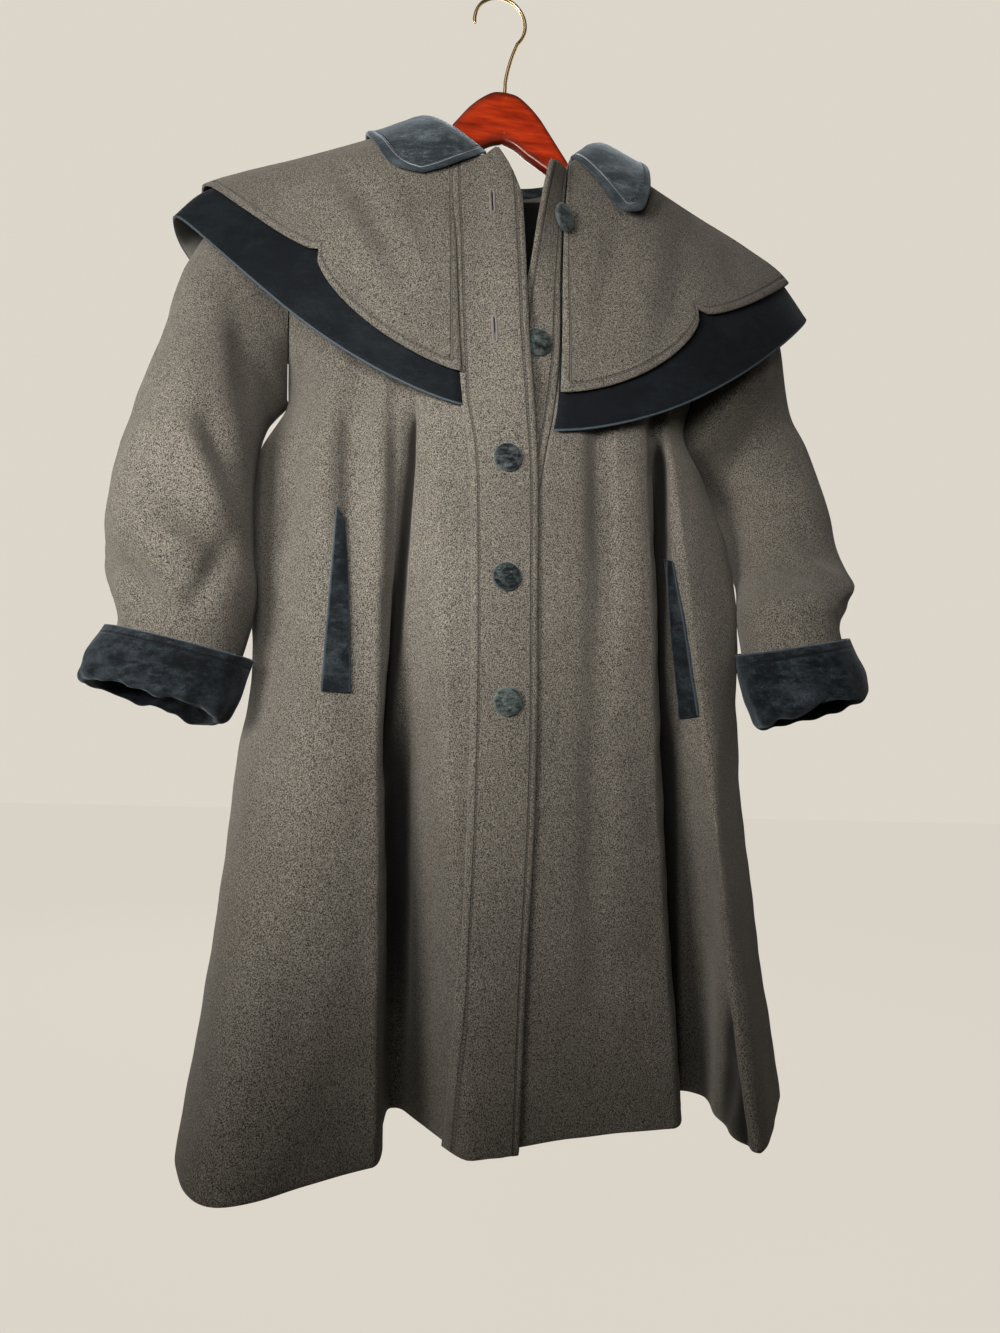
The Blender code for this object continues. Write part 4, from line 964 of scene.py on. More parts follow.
def wool_finish(name, dark, light, sewn_at=None):
    """Felted wool: pale and dark fibres in fine specks, a slow drift of tone, painted shade in deep tucks,
    and sewn lines.
    """
    wool = Finish(name, Sheen_Weight=0.10, Sheen_Roughness=0.50, Specular_IOR_Level=0.08)
    wool.shader.inputs["Sheen Tint"].default_value = colour(WOOL_SHEEN)
    where = wool.place()
    nap = wool.noise(where, 1050.0, 2.0, 0.65)
    hair = wool.noise(wool.place((1.0, 1.0, 0.45)), 1700.0, 1.0, 0.5)
    fleck = wool.noise(wool.place((0.50, 1.0, 1.0)), 1700.0, 1.0, 0.5)
    drift = wool.noise(where, 8.0, 3.0, 0.6)
    speck = wool.step(nap * 0.60 + hair * 0.40, 0.37, 0.65)
    tone = wool.mix(speck, colour(dark), colour(light))
    tone = wool.mix(wool.step(fleck, 0.62, 0.78) * 0.55, tone, colour(light, 1.9))
    slow = wool.step(drift, 0.25, 0.75)
    tone = wool.mix(slow * 0.22, tone, colour(dark, 0.60))
    # Painted shade: the wool goes near black where a crease or pleat is deep, in place of the shadow inside
    # it
    tuck = wool.step(wool.attribute("tuck"), *TUCK_SHADE_DEPTHS)
    tone = wool.mix(tuck * 0.94, tone, colour(dark, 0.30))
    height = nap * 0.6 + hair * 0.3 + fleck * 0.2
    if sewn_at:
        groove, stitch = wool.sewing(sewn_at, WOOL_GROOVE, STITCH)
        tone = wool.mix(groove * 0.66, tone, colour(dark, 0.35))
        tone = wool.mix(stitch * 0.30, tone, colour(light))
        height = height - groove * 2.0 + stitch * 0.7
    wool.feed("Base Color", tone)
    wool.feed("Roughness", 0.88 + nap * 0.10)
    wool.bump(height, 0.60, 0.0011)
    return wool.material


def velvet_finish(name, deep, rubbed, wear, sheen=0.2, crushed=34.0, rim=0.0, sewn_at=None, band=0.0):
    """Cotton velvet: a deep pile with a soft sheen, crushed and rubbed paler in patches and at edges."""
    velvet = Finish(name, Sheen_Weight=sheen, Sheen_Roughness=0.40, Specular_IOR_Level=0.06)
    velvet.shader.inputs["Sheen Tint"].default_value = colour(VELVET_SHEEN)
    where = velvet.place()
    pile = velvet.noise(where, 900.0, 2.0, 0.6)
    crush = velvet.noise(velvet.place((1.0, 1.0, 1.7)), crushed, 5.0, 0.68)
    cloud = velvet.noise(where, 12.0, 2.0, 0.5)
    scuff = velvet.noise(velvet.place((0.5, 1.0, 1.4)), 210.0, 3.0, 0.7)
    worn = velvet.step(crush * 0.50 + cloud * 0.30 + scuff * 0.20, 0.42, 0.66) * wear
    tone = velvet.mix(worn, colour(deep), colour(rubbed))
    scuffed = velvet.step(scuff, 0.60, 0.78) * 0.5 * wear
    tone = velvet.mix(scuffed, tone, colour(rubbed, 1.5))
    tone = velvet.mix(velvet.step(pile, 0.35, 0.65) * 0.55, tone, colour(deep, 0.35))
    height = pile * 0.6 + crush * 0.9
    if rim:
        edge = velvet.step(velvet.attribute("edge"), 0.0014, 0.0004) * rim
        tone = velvet.mix(edge, tone, colour(rubbed, 1.7))
    if sewn_at:
        within = velvet.step(velvet.attribute("edge"), sewn_at, sewn_at - 0.0012) * band
        tone = velvet.mix(within, tone, colour(deep))
        groove, stitch = velvet.sewing(sewn_at, VELVET_GROOVE, STITCH)
        tone = velvet.mix(groove * 0.90, tone, colour(deep, 0.25))
        tone = velvet.mix(stitch * 0.12, tone, colour(rubbed))
        height = height - groove * 2.6 + stitch * 0.8
    velvet.feed("Base Color", tone)
    velvet.feed("Roughness", 0.72 + pile * 0.20)
    velvet.bump(height, 0.50, 0.0012)
    return velvet.material


def lining_finish(name, tone):
    """A smooth woven lining with a faint fine twill."""
    lining = Finish(name, Roughness=0.80, Specular_IOR_Level=0.10)
    where = lining.place((1.0, 1.0, 0.4))
    twill = lining.noise(where, 900.0, 1.0, 0.5)
    lining.feed("Base Color", lining.mix(twill, colour(tone, 0.6), colour(tone)))
    lining.bump(twill, 0.25, 0.0004)
    return lining.material


def lacquer_finish(name):
    """Cherry lacquer over wood: long grain and pores under a clear coat, darker towards the edges with
    painted shade.
    """
    wood = Finish(name, Coat_Weight=0.30, Coat_Roughness=0.14, Specular_IOR_Level=0.30)
    grain = wood.noise(wood.place((7.0, 60.0, 48.0)), 2.4, 5.0, 0.62)
    pores = wood.noise(wood.place((60.0, 700.0, 620.0)), 1.6, 2.0, 0.5)
    stops = (
        (0.30, (0.080, 0.0050, 0.0012)),
        (0.52, (0.220, 0.0150, 0.0022)),
        (0.74, (0.360, 0.0360, 0.0050)),
    )
    tone = wood.node("ShaderNodeValToRGB", {"stops": stops}, {"Fac": grain})
    tone = wood.mix(wood.step(pores, 0.60, 0.78) * 0.45, tone, colour((0.060, 0.008, 0.004)))
    # Painted shade: the wood darkens towards its top and bottom edges, where the rounded section turns from
    # the light
    edge = wood.step(wood.attribute("edge"), 0.0110, 0.0008)
    tone = wood.mix(edge * 0.72, tone, colour((0.030, 0.005, 0.003)))
    joint = wood.step(wood.attribute("run"), 0.0007, 0.0002)
    tone = wood.mix(joint * 0.55, tone, colour((0.36, 0.12, 0.05)))
    wood.feed("Base Color", tone)
    wood.feed("Roughness", 0.24 + grain * 0.14)
    wood.bump(grain * 0.4 + pores * 0.3, 0.12, 0.0006)
    return wood.material


def brass_finish(name):
    """Brassed wire with drawn lines and small dull spots."""
    brass = Finish(name, Metallic=1.0)
    drawn = brass.noise(brass.place((400.0, 400.0, 30.0)), 3.0, 2.0, 0.5)
    spots = brass.noise(brass.place(), 160.0, 3.0, 0.6)
    dull = brass.step(spots, 0.50, 0.72)
    brass.feed("Base Color", brass.mix(dull * 0.6, colour((0.70, 0.52, 0.25)), colour((0.33, 0.22, 0.10))))
    brass.feed("Roughness", 0.20 + drawn * 0.12 + dull * 0.22)
    brass.bump(drawn, 0.12, 0.0002)
    return brass.material


def thread_finish(name, tone):
    """Buttonhole thread, with its turns across the edge."""
    thread = Finish(name, Roughness=0.75, Sheen_Weight=0.2)
    along = thread.attribute("run") / THREAD_TURN
    turns = thread.node("ShaderNodeMath", {"operation": "FRACT"}, {0: along})
    lit = thread.step(turns, 0.0, 0.4) * thread.step(turns, 1.0, 0.6)
    thread.feed("Base Color", thread.mix(lit, colour(tone, 0.35), colour(tone)))
    thread.bump(lit, 0.6, 0.0006)
    return thread.material


def floor_finish(name):
    """A pale matt floor with a faint unevenness."""
    floor = Finish(name, Roughness=0.85, Specular_IOR_Level=0.2)
    cloud = floor.noise(floor.place(), 2.0, 3.0, 0.5)
    floor.feed("Base Color", floor.mix(cloud, colour((0.66, 0.62, 0.54)), colour((0.70, 0.66, 0.58))))
    pale = floor.node("ShaderNodeEmission", {}, {"Color": colour(ROOM_TONE), "Strength": ROOM_SEEN})
    seen = floor.node("ShaderNodeLightPath", output="Is Camera Ray") * FLOOR_PALE
    lit = Reading(floor, floor.shader.outputs[0])
    both = floor.node("ShaderNodeMixShader", {}, {0: seen, 1: lit, 2: pale})
    floor.put(floor.tree.nodes["Material Output"].inputs["Surface"], both)
    return floor.material


def waves(points, length, seed):
    """A slow unevenness about one high: sine waves of seeded directions and lengths, added up."""
    chance = np.random.default_rng(seed)
    total = 0.0
    for _ in range(WAVES):
        heading = chance.normal(size=3)
        heading /= np.linalg.norm(heading)
        span = length * chance.uniform(*WAVE_SPANS)
        total = total + np.sin(points @ heading * 2 * HALF_TURN / span + chance.uniform(0.0, 6.0))
    return total / WAVES_HIGH

def uneven(points, piece, shift=0):
    """A piece's slow unevenness: its heights times its waves, added up."""
    return sum(high * waves(points, length, seed + shift) for high, length, seed in UNEVEN[piece])


def creases(name, points, front):
    """Depth of a piece's soft creases on its front and back."""
    x, drop = points[..., 0], -points[..., 2]
    total = np.zeros_like(x)
    for row in CREASES:
        if row.piece == name:
            run = row.x_end - row.x_start, row.drop_end - row.drop_start
            bell = trough(x - row.x_start, drop - row.drop_start, *run, row.wide)
            total = total + np.where(front == (row.face == FRONT), row.deep * bell, 0.0)
    return total


def around_and_along(grid, last):
    """Angles round a ring and places from nought to the last, over a grid."""
    rows, columns = grid
    return np.broadcast_arrays(ring_angles(columns), np.linspace(0.0, last, rows)[:, None])


def grid_faces(number):
    """Four-cornered faces between the rows of a grid of point numbers."""
    corners = (number[:-1, :-1], number[:-1, 1:], number[1:, 1:], number[1:, :-1])
    return np.stack(corners, axis=-1).reshape(-1, 4)


def ring_numbers(rows, columns):
    """Numbers of the points in rows of rings, each ring with its first point again at its end."""
    number = np.arange(rows * columns).reshape(rows, columns)
    return np.concatenate((number, number[:, :1]), axis=1)


def closed_tube(points):
    """Faces of a row of rings, with a flat face at each end."""
    wrap = ring_numbers(*points.shape[:2])
    return grid_faces(wrap).tolist() + [wrap[0, :-1][::-1].tolist(), wrap[-1, :-1].tolist()]


def put_mesh(name, points, faces, finishes, kinds=None, carried=None):
    """A mesh object in the row's frame, smooth, with faces outward and values carried by its points."""
    mesh = bpy.data.meshes.new(name)
    mesh.from_pydata((points + ROW).tolist(), [], faces)
    for finish in finishes:
        mesh.materials.append(finish)
    if kinds is not None:
        mesh.polygons.foreach_set("material_index", kinds)
    mesh.polygons.foreach_set("use_smooth", np.ones(len(mesh.polygons), bool))
    for key, values in (carried or {}).items():
        mesh.attributes.new(key, "FLOAT", "POINT").data.foreach_set("value", values)
    mesh.calc_loop_triangles()
    corners = np.empty(len(mesh.loop_triangles) * 3, np.int32)
    mesh.loop_triangles.foreach_get("vertices", corners)
    p, q, r = (points[corners.reshape(-1, 3)[:, i]] for i in range(3))
    if np.einsum("ij,ij->", p, np.cross(q, r)) < 0:
        mesh.flip_normals()
    mesh.update()
    item = bpy.data.objects.new(name, mesh)
    bpy.context.scene.collection.objects.link(item)
    return item


def belongs(item, node):
    """A piece that stands for a node of the solid coat and rides with it."""
    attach(item, "root")
    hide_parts(node)
    return item


def cloth(name, outer, inner, finishes, ring=False, carried=None):
    """A wall of cloth between two grids, with a rounded edge: the rim's middle row stands out a little."""
    rows, columns = outer.shape[:2]
    count = rows * columns
    number = np.arange(count).reshape(rows, columns)
    face = grid_faces(ring_numbers(rows, columns) if ring else number)
    if ring:
        loops = [number[0], number[-1][::-1]]
    else:
        sides = (number[0, :-1], number[:-1, -1], number[-1, :0:-1], number[:0:-1, 0])
        loops = [np.concatenate(sides)]
    front, back = outer.reshape(-1, 3), inner.reshape(-1, 3)
    middles, rims, start = [], [], 2 * count
    for loop in loops:
        row, column = loop // columns, loop % columns
        behind = np.clip(row, 1, rows - 2) * columns
        behind = behind + (column if ring else np.clip(column, 1, columns - 2))
        outward = unit(front[loop] - front[behind])
        thick = np.linalg.norm(front[loop] - back[loop], axis=1, keepdims=True)
        middles.append((front[loop] + back[loop]) / 2 + outward * thick * EDGE_ROUND)
        middle = start + np.arange(len(loop))
        start += len(loop)
        far, far_middle = np.roll(loop, -1), np.roll(middle, -1)
        rims.append(np.stack((far, loop, middle, far_middle), axis=-1))
        rims.append(np.stack((far_middle, middle, loop + count, far + count), axis=-1))
    rims = np.concatenate(rims)
    faces = np.concatenate((face, face[:, ::-1] + count, rims))
    kinds = np.zeros(len(faces), np.int32)
    if len(finishes) > 1:
        kinds[len(face) : 2 * len(face)] = 1
    points = np.concatenate([front, back] + middles)
    values = {}
    for key, value in (carried or {}).items():
        flat = np.broadcast_to(value, (rows, columns)).reshape(-1)
        values[key] = np.concatenate([flat, flat] + [flat[loop] for loop in loops])
    return put_mesh(name, points, faces.tolist(), finishes, kinds, values)


def cloth_piece(name, node, finishes, surface, u, v, lifts, turn=1, ring=False, carried=None):
    """A wall of cloth between two lifts of a surface, the outer one first, which stands for a node."""
    outer, inner = (lifted(surface, u, v, lift, turn) for lift in lifts)
    return belongs(cloth(name, outer, inner, finishes, ring, carried), node)


def body_relief(theta, drop):
    """Height of the body's creases and unevenness, and the creases' depth for the wool's painted shade,
    clear of capes and bands.
    """
    points = body_surface(theta, drop)
    front = np.cos(theta) > 0
    quiet = smooth_step(drop, *BELOW_CAPES)
    beside = np.where(front, smooth_step(np.abs(points[..., 0]), *BESIDE_BANDS), 1.0)
    tuck = creases("body", points, front) * quiet * beside
    return uneven(points, "body") * quiet * beside - tuck, tuck


def neckline(drop):
    """How far a row follows the neckline: wholly at the neck, not at all from the shoulder down."""
    return np.clip((SHOULDER - drop) / (SHOULDER - NECK_TOP), 0.0, 1.0)


def body_panel(name, node, grid, row_at, finishes):
    """A panel of the body, whose rows of angles and drops come from a function of the drop."""
    rows, columns = grid
    made = [row_at(drop, columns) for drop in np.linspace(NECK_TOP, HEM, rows)]
    theta, drop = (np.array(part) for part in zip(*made))
    high, tuck = body_relief(theta, drop)
    lifts = (high, high - WOOL)
    # The creases' depth rides on the points as tuck, which the wool turns into painted shade
    carried = {"tuck": tuck}
    return cloth_piece(name, node, finishes, body_surface, theta, drop, lifts, carried=carried)


def front_cloth(name, node, side, seam, finishes):
    """One front from the band's seam round to the side, with a neckline that slopes to the band."""

    def row_at(drop, columns):
        line = drop + FRONT_NECK_DIP * neckline(drop) * np.linspace(1.0, 0.0, columns) ** NECK_SLOPE
        start = front_angle(read(EDGES, seam, line[0]) + side * SEAM, line[0])
        return even_columns(body_surface, start, side * side_angle(drop), drop, columns), line

    return body_panel(name, node, FRONT_GRID, row_at, finishes)


def back_cloth(name, node, finishes):
    """The whole back, its top row dipping to the back neck."""

    def row_at(drop, columns):
        edge = side_angle(drop)
        row = even_columns(body_surface, HALF_TURN - edge, HALF_TURN + edge, drop, columns)
        return row, drop + BACK_NECK_DIP * neckline(drop) * np.cos(row - HALF_TURN) ** 2

    return body_panel(name, node, BACK_GRID, row_at, finishes)


def band_cloth(name, node, surface, ends, low_lift, turn, width, finishes):
    """A doubled band: a strip over a front between its own ends, plumper between its sewn lines."""
    rows, columns = BAND_GRID
    places, tops, lows = np.array(ends).T
    across = np.linspace(places[0], places[-1], columns)
    share = np.linspace(0.0, 1.0, rows)[:, None]
    top, low = np.interp(across, places, tops), np.interp(across, places, lows)
    drop = top * (1 - share) + low * share
    across = np.broadcast_to(across, drop.shape)
    middle = (across - places[0]) / (places[-1] - places[0])
    arch = np.sin(HALF_TURN * middle)
    plump = BAND_PLUMP * arch + uneven(surface(across, drop), "band")
    lifts = (low_lift + DOUBLED + plump * arch**0.5, low_lift)
    carried = {"edge": np.minimum(middle, 1 - middle) * width, "run": drop}
    return cloth_piece(name, node, finishes, surface, across, drop, lifts, turn, carried=carried)


def cape_relief(around, share):
    """Height of the capes' creases and unevenness, which both layers share, none at the neck."""
    points = cape_surface(around, share)
    front = points[..., 1] < 0
    return (uneven(points, "cape") - creases("cape", points, front)) * smooth_step(share, *FROM_NECK)


def cape_cloth(velvet, wool):
    """The velvet cape and above it the wool cape, whose rows are shares of its scalloped edge."""
    stops = (0.0, NOTCH_FRONT, NOTCH_BACK, 1 - NOTCH_BACK, 1 - NOTCH_FRONT, 1.0)
    parts = [np.linspace(a, b, n + 1)[:-1] for a, b, n in zip(stops, stops[1:], CAPE_STEPS)]
    around = np.concatenate(parts + [[1.0]])
    share = np.linspace(0.0, 1.0, CAPE_ROWS)[:, None]
    around, share = np.broadcast_arrays(around, share)
    high = cape_relief(around, share)
    lifts = (high, high - VELVET)
    carried = {"edge": (1 - share) * CAPE_LENGTH, "run": around * VELVET_AROUND}
    cloth_piece("cape_velvet_cloth", "cape_velvet", velvet, cape_surface, around, share, lifts, -1,
                carried=carried)
    rim = lobes(around)
    share = share * rim
    low = cape_relief(around, share) + WOOL_LIFT_NECK + (WOOL_LIFT_EDGE - WOOL_LIFT_NECK) * share
    lifts = (low + WOOL, low)
    sides = np.minimum(around, 1 - around) * VELVET_AROUND
    edge = np.minimum((rim - share) * CAPE_LENGTH, sides)
    carried = {"edge": edge, "run": around * WOOL_AROUND}
    cloth_piece("cape_wool_cloth", "cape_wool", wool, cape_surface, around, share, lifts, -1,
                carried=carried)


def collar_cloth(name, node, finishes):
    """The collar's wall, with a rolled edge and a little rumple, its columns closer at the two ends."""
    rows, columns = COLLAR_GRID
    ease = np.linspace(-1.0, 1.0, columns)
    around = 0.5 + 0.5 * np.sign(ease) * (1 - (1 - np.abs(ease)) ** COLLAR_EASE)
    around = COLLAR_INSET + (1 - 2 * COLLAR_INSET) * around
    across = np.linspace(COLLAR_INSET, 1 - COLLAR_INSET, rows)[:, None]
    around, across = np.broadcast_arrays(around, across)
    edge = np.minimum((1 - across) * COLLAR_LENGTH, np.minimum(around, 1 - around) * COLLAR_AROUND)
    points = collar_surface(around, across)
    rumple = uneven(points, "collar") * smooth_step(edge, *RUMPLE_FROM)
    roll = ROLL_HEIGHT * np.exp(-(((edge - ROLL_AT) / ROLL_HALF) ** 2)) * smooth_step(across, *ROLL_FROM)
    lifts = (VELVET / 2 + rumple + roll, -VELVET / 2 + rumple)
    carried = {"edge": edge, "run": around * COLLAR_AROUND}
    return cloth_piece(name, node, finishes, collar_surface, around, across, lifts, -1,
                       carried=carried)


def sleeve_cloth(name, node, side, finishes):
    """A sleeve's wall, with the creases of its bend, its first ring lying against the armhole."""
    surface = sleeve_surface(side)
    turn, place = around_and_along(SLEEVE_GRID, SLEEVE[-1].place)
    points = surface(turn, place)
    front = points[..., 1] < points[..., 1].mean(axis=1, keepdims=True)
    inward = (points[..., 0] - points[..., 0].mean(axis=1, keepdims=True)) * side
    free = smooth_step(place, *FROM_ARMHOLE) * (1 - smooth_step(place, *TO_CUFF))
    free = free * smooth_step(inward, *FROM_BODY)
    high = (uneven(points, "sleeve", side) - creases(node, points, front)) * free
    outer, inner = (lifted(surface, turn, place, lift, -side) for lift in (high, high - WOOL))
    inner[0, :, 0] = np.maximum(np.abs(inner[0, :, 0]), np.abs(outer[0, :, 0])) * side
    return belongs(cloth(name, outer, inner, finishes, ring=True), node)


def cuff_cloth(name, node, side, finishes):
    """A turned-back cuff: its outer wall, the soft fold at the bottom and its inside, rumpled."""
    surface = cuff_surface(side)
    turn, place = around_and_along(CUFF_GRID, CUFF[-1].place)
    points = surface(turn, place)
    along = read(CUFF, "along", place)
    outside = 1 - smooth_step(place, *INTO_CUFF)
    slack = uneven(points, "cuff", side) * (smooth_step(along, *DOWN_CUFF) * outside)
    high = slack + uneven(points, "cuff_all_over", side) * outside
    lifts = (high, high - VELVET)
    edge = np.where(place < CUFF_FOLD, along * CUFF_LENGTH, CUFF_LENGTH)
    carried = {"edge": edge, "run": turn * CUFF_HALF}
    return cloth_piece(name, node, finishes, surface, turn, place, lifts, -side, True, carried)


def welt_cloth(name, welt, finishes):
    """A pocket welt: a plump folded strip made from the front's points moved out."""
    rows, columns = WELT_GRID
    across = np.linspace(0.0, 1.0, columns)
    down = np.linspace(0.0, 1.0, rows)[:, None]
    x_top, drop_top = [a + (b - a) * across for a, b in zip(welt.outer_top, welt.inner_top)]
    x_low, drop_low = [a + (b - a) * across for a, b in zip(welt.outer_low, welt.inner_low)]
    x = x_top + (x_low - x_top) * down
    drop = drop_top + (drop_low - drop_top) * down
    theta = front_angle(x, drop)
    base = body_relief(theta, drop)[0] + WELT_STAND
    plump = WELT_PLUMP * np.sin(HALF_TURN * across) ** WELT_ROUND * (1 - np.abs(2 * down - 1) ** WELT_SQUARE)
    lifts = (base + VELVET + plump, base)
    carried = {"edge": np.minimum(across, 1 - across) * WELT_WIDTH, "run": drop}
    return cloth_piece(name, welt.name, finishes, body_surface, theta, drop, lifts, carried=carried)


def button_cover(name, button, finishes):
    """A covered button: a turned profile, dome and flat back, with the cloth's gathers round its rim."""
    rows, columns = BUTTON_GRID
    profile = np.array(BUTTON_PROFILE)
    knots = np.arange(len(profile))
    at = np.linspace(0.0, len(profile) - 1.0, rows)[1:-1]
    radius = curve_through(at, knots, profile[:, 0])[:, None] * BUTTON_RADIUS
    height = curve_through(at, knots, profile[:, 1])[:, None] * BUTTON_RISE
    turn = ring_angles(columns)
    ripple = np.sin(turn * GATHERS + button.drop * GATHER_SHIFT) * smooth_step(radius, *GATHER_FROM)
    out = radius * (1 + GATHER_DEPTH * ripple)
    ring = np.stack((out * np.cos(turn), out * np.sin(turn), height + 0 * turn), axis=-1)
    ring[..., 2] += uneven(ring + button.drop, "button") * smooth_step(height, *DOME_FROM)
    poles = np.array(((0.0, 0.0, 0.0), (0.0, 0.0, BUTTON_RISE)))
    points = np.concatenate((ring.reshape(-1, 3), poles))
    wrap = ring_numbers(*ring.shape[:2])
    faces = grid_faces(wrap).tolist()
    first, last = np.full(columns, len(points) - 2), np.full(columns, len(points) - 1)
    faces += np.stack((first, wrap[0, 1:], wrap[0, :-1]), axis=-1).tolist()
    faces += np.stack((last, wrap[-1, :-1], wrap[-1, 1:]), axis=-1).tolist()
    drop = np.array(button.drop)
    theta = front_angle(button.x, drop)
    seat = lifted(body_surface, theta, drop, button.stand)
    out = Vector(seat - body_surface(theta, drop))
    facing = out.to_track_quat("Z", "Y").to_euler()
    facing.rotate_axis("Y", button.turn)
    points = points @ np.array(facing.to_matrix()).T + seat
    depth = np.repeat(BUTTON_RADIUS - radius[:, 0], columns)
    edge = np.concatenate((depth, (BUTTON_RADIUS, BUTTON_RADIUS)))
    made = put_mesh(name, points, faces, finishes, carried={"edge": edge, "run": 0 * edge})
    return belongs(made, button.name)


def buttonhole(name, hole, finishes):
    """A buttonhole: a round thread carried along a long narrow loop on the band, over a slit painted near
    black as the shade inside the cut.
    """
    sides, steps = HOLE_GRID
    turn = ring_angles(steps)
    middle, half = (hole.top + hole.low) / 2, (hole.low - hole.top) / 2
    width = read(EDGES, "placket_edge", middle) - read(EDGES, "placket_seam", middle)
    long = np.sign(np.cos(turn)) * np.abs(np.cos(turn)) ** HOLE_SQUARE
    wide = np.sign(np.sin(turn)) * np.abs(np.sin(turn)) ** HOLE_FULL
    across, drop = hole.across + wide * HOLE_HALF / width, middle + long * half
    path = lifted(placket_surface, across, drop, HOLE_LEVEL, 1)
    # Painted shade: the slit is a flat face in the black lining's tone, standing in for the shade inside the
    # cut
    slit = lifted(placket_surface, across, drop, HOLE_LEVEL - SLIT_BELOW, 1)
    out = unit(path - lifted(placket_surface, across, drop, HOLE_LEVEL - HOLE_WHIP, 1))
    ahead = np.roll(path, -1, axis=0) - np.roll(path, 1, axis=0)
    aside = unit(np.cross(ahead, out))
    round_it = ring_angles(sides)[:, None, None]
    ring = path + HOLE_WHIP * (np.cos(round_it) * aside + np.sin(round_it) * out)
    number = np.arange(sides * steps).reshape(sides, steps)
    faces = grid_faces(np.pad(number, ((0, 1), (0, 1)), mode="wrap"))
    points = np.concatenate((ring.reshape(-1, 3), slit))
    slit_face = list(range(sides * steps, sides * steps + steps))
    kinds = np.concatenate((np.zeros(len(faces), np.int32), [1]))
    length = np.concatenate(([0.0], np.cumsum(np.linalg.norm(np.diff(path, axis=0), axis=1))))
    run = np.concatenate((np.tile(length, sides), length))
    made = put_mesh(name, points, faces.tolist() + [slit_face], finishes, kinds, {"run": run})
    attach(made, "root")
    return made


def hanger_shape(name, node, finishes):
    """The hanger's wood: rounded sections carried from one arm's end to the other, with a joint mid-way."""
    rows, columns = HANGER_GRID
    reach = HANGER[-1].x
    share = np.linspace(-1.0, 1.0, rows)[:, None]
    x = reach * np.sign(share) * (1 - (1 - np.abs(share)) ** HANGER_EASE)
    turn = ring_angles(columns)
    top, under = read(HANGER, "top", np.abs(x)), read(HANGER, "under", np.abs(x))
    close = (1 - np.clip((np.abs(x) - reach + HANGER_END) / HANGER_END, 0.0, 0.995) ** 2.4) ** 0.5
    half_high, half_thick = (under - top) / 2 * close, HANGER_THICKNESS / 2 * close
    y, z = oval(turn, 1.0, 1.0, HANGER_FULLNESS)
    points = np.stack((x + 0 * turn, y * half_thick, -(top + under) / 2 - z * half_high), axis=-1)
    edge = np.minimum(-points[..., 2] - top, under + points[..., 2]).clip(0.0, None)
    joint = np.abs(points[..., 0] - JOINT_WAVE * np.sin(points[..., 2] * JOINT_PACE))
    carried = {"edge": edge.reshape(-1), "run": joint.reshape(-1)}
    made = put_mesh(name, points.reshape(-1, 3), closed_tube(points), finishes, carried=carried)
    return belongs(made, node)


def hook_shape(name, node, finishes):
    """The hook: a round wire carried up a stem, outward and round a loop, with a rounded end."""
    rise_steps, loop_steps = HOOK_STEPS
    sweep = np.linspace(*HOOK_SWEEP, loop_steps)
    loop_x = HOOK_CENTRE_X + HOOK_RADIUS * np.cos(sweep)
    loop_z = HOOK_CENTRE_Z + HOOK_RADIUS * np.sin(sweep)
    rise = np.linspace(0.0, 1.0, rise_steps)[:-1]
    bend = np.clip((rise - HOOK_STRAIGHT) / (1 - HOOK_STRAIGHT), 0.0, 1.0)
    foot = SEAM - HANGER[0].top
    path_x = np.concatenate((loop_x[0] * bend * (0.45 + 0.55 * bend), loop_x))
    path_z = np.concatenate((foot + (loop_z[0] - foot) * rise, loop_z))
    path = np.stack((path_x, 0 * path_x, path_z), axis=-1)
    ahead = unit(np.gradient(path, axis=0))
    across = np.array((0.0, 1.0, 0.0))
    aside = np.cross(ahead, across)
    turn = ring_angles(WIRE_SIDES)[:, None]
    size = np.full((len(path), 1, 1), WIRE_RADIUS)
    size[-len(WIRE_END) :, 0, 0] *= WIRE_END
    ring = path[:, None] + size * (np.cos(turn) * aside[:, None] + np.sin(turn) * across)
    return belongs(put_mesh(name, ring.reshape(-1, 3), closed_tube(ring), finishes), node)


def floor_sheet(name, finish):
    """A wide flat floor under the coat."""
    line = np.linspace(-FLOOR_HALF, FLOOR_HALF, FLOOR_POINTS)
    x, y = np.meshgrid(line, line)
    points = np.stack((x, y, np.full_like(x, FLOOR_Z)), axis=-1).reshape(-1, 3) - ROW
    number = np.arange(x.size).reshape(x.shape)
    item = put_mesh(name, points, grid_faces(number).tolist(), [finish])


def soft_light(lamp):
    """A large square lamp, its light kept within its spread."""
    light = bpy.data.lights.new(lamp.name, "AREA")
    light.size = lamp.size
    light.spread = math.radians(lamp.spread)
    light.energy = lamp.power
    light.color = LAMP_TONE
    item = bpy.data.objects.new(lamp.name, light)
    item.location = lamp.at
    item.rotation_euler = (Vector(lamp.towards) - Vector(lamp.at)).to_track_quat("-Z", "Y").to_euler()
    bpy.context.scene.collection.objects.link(item)


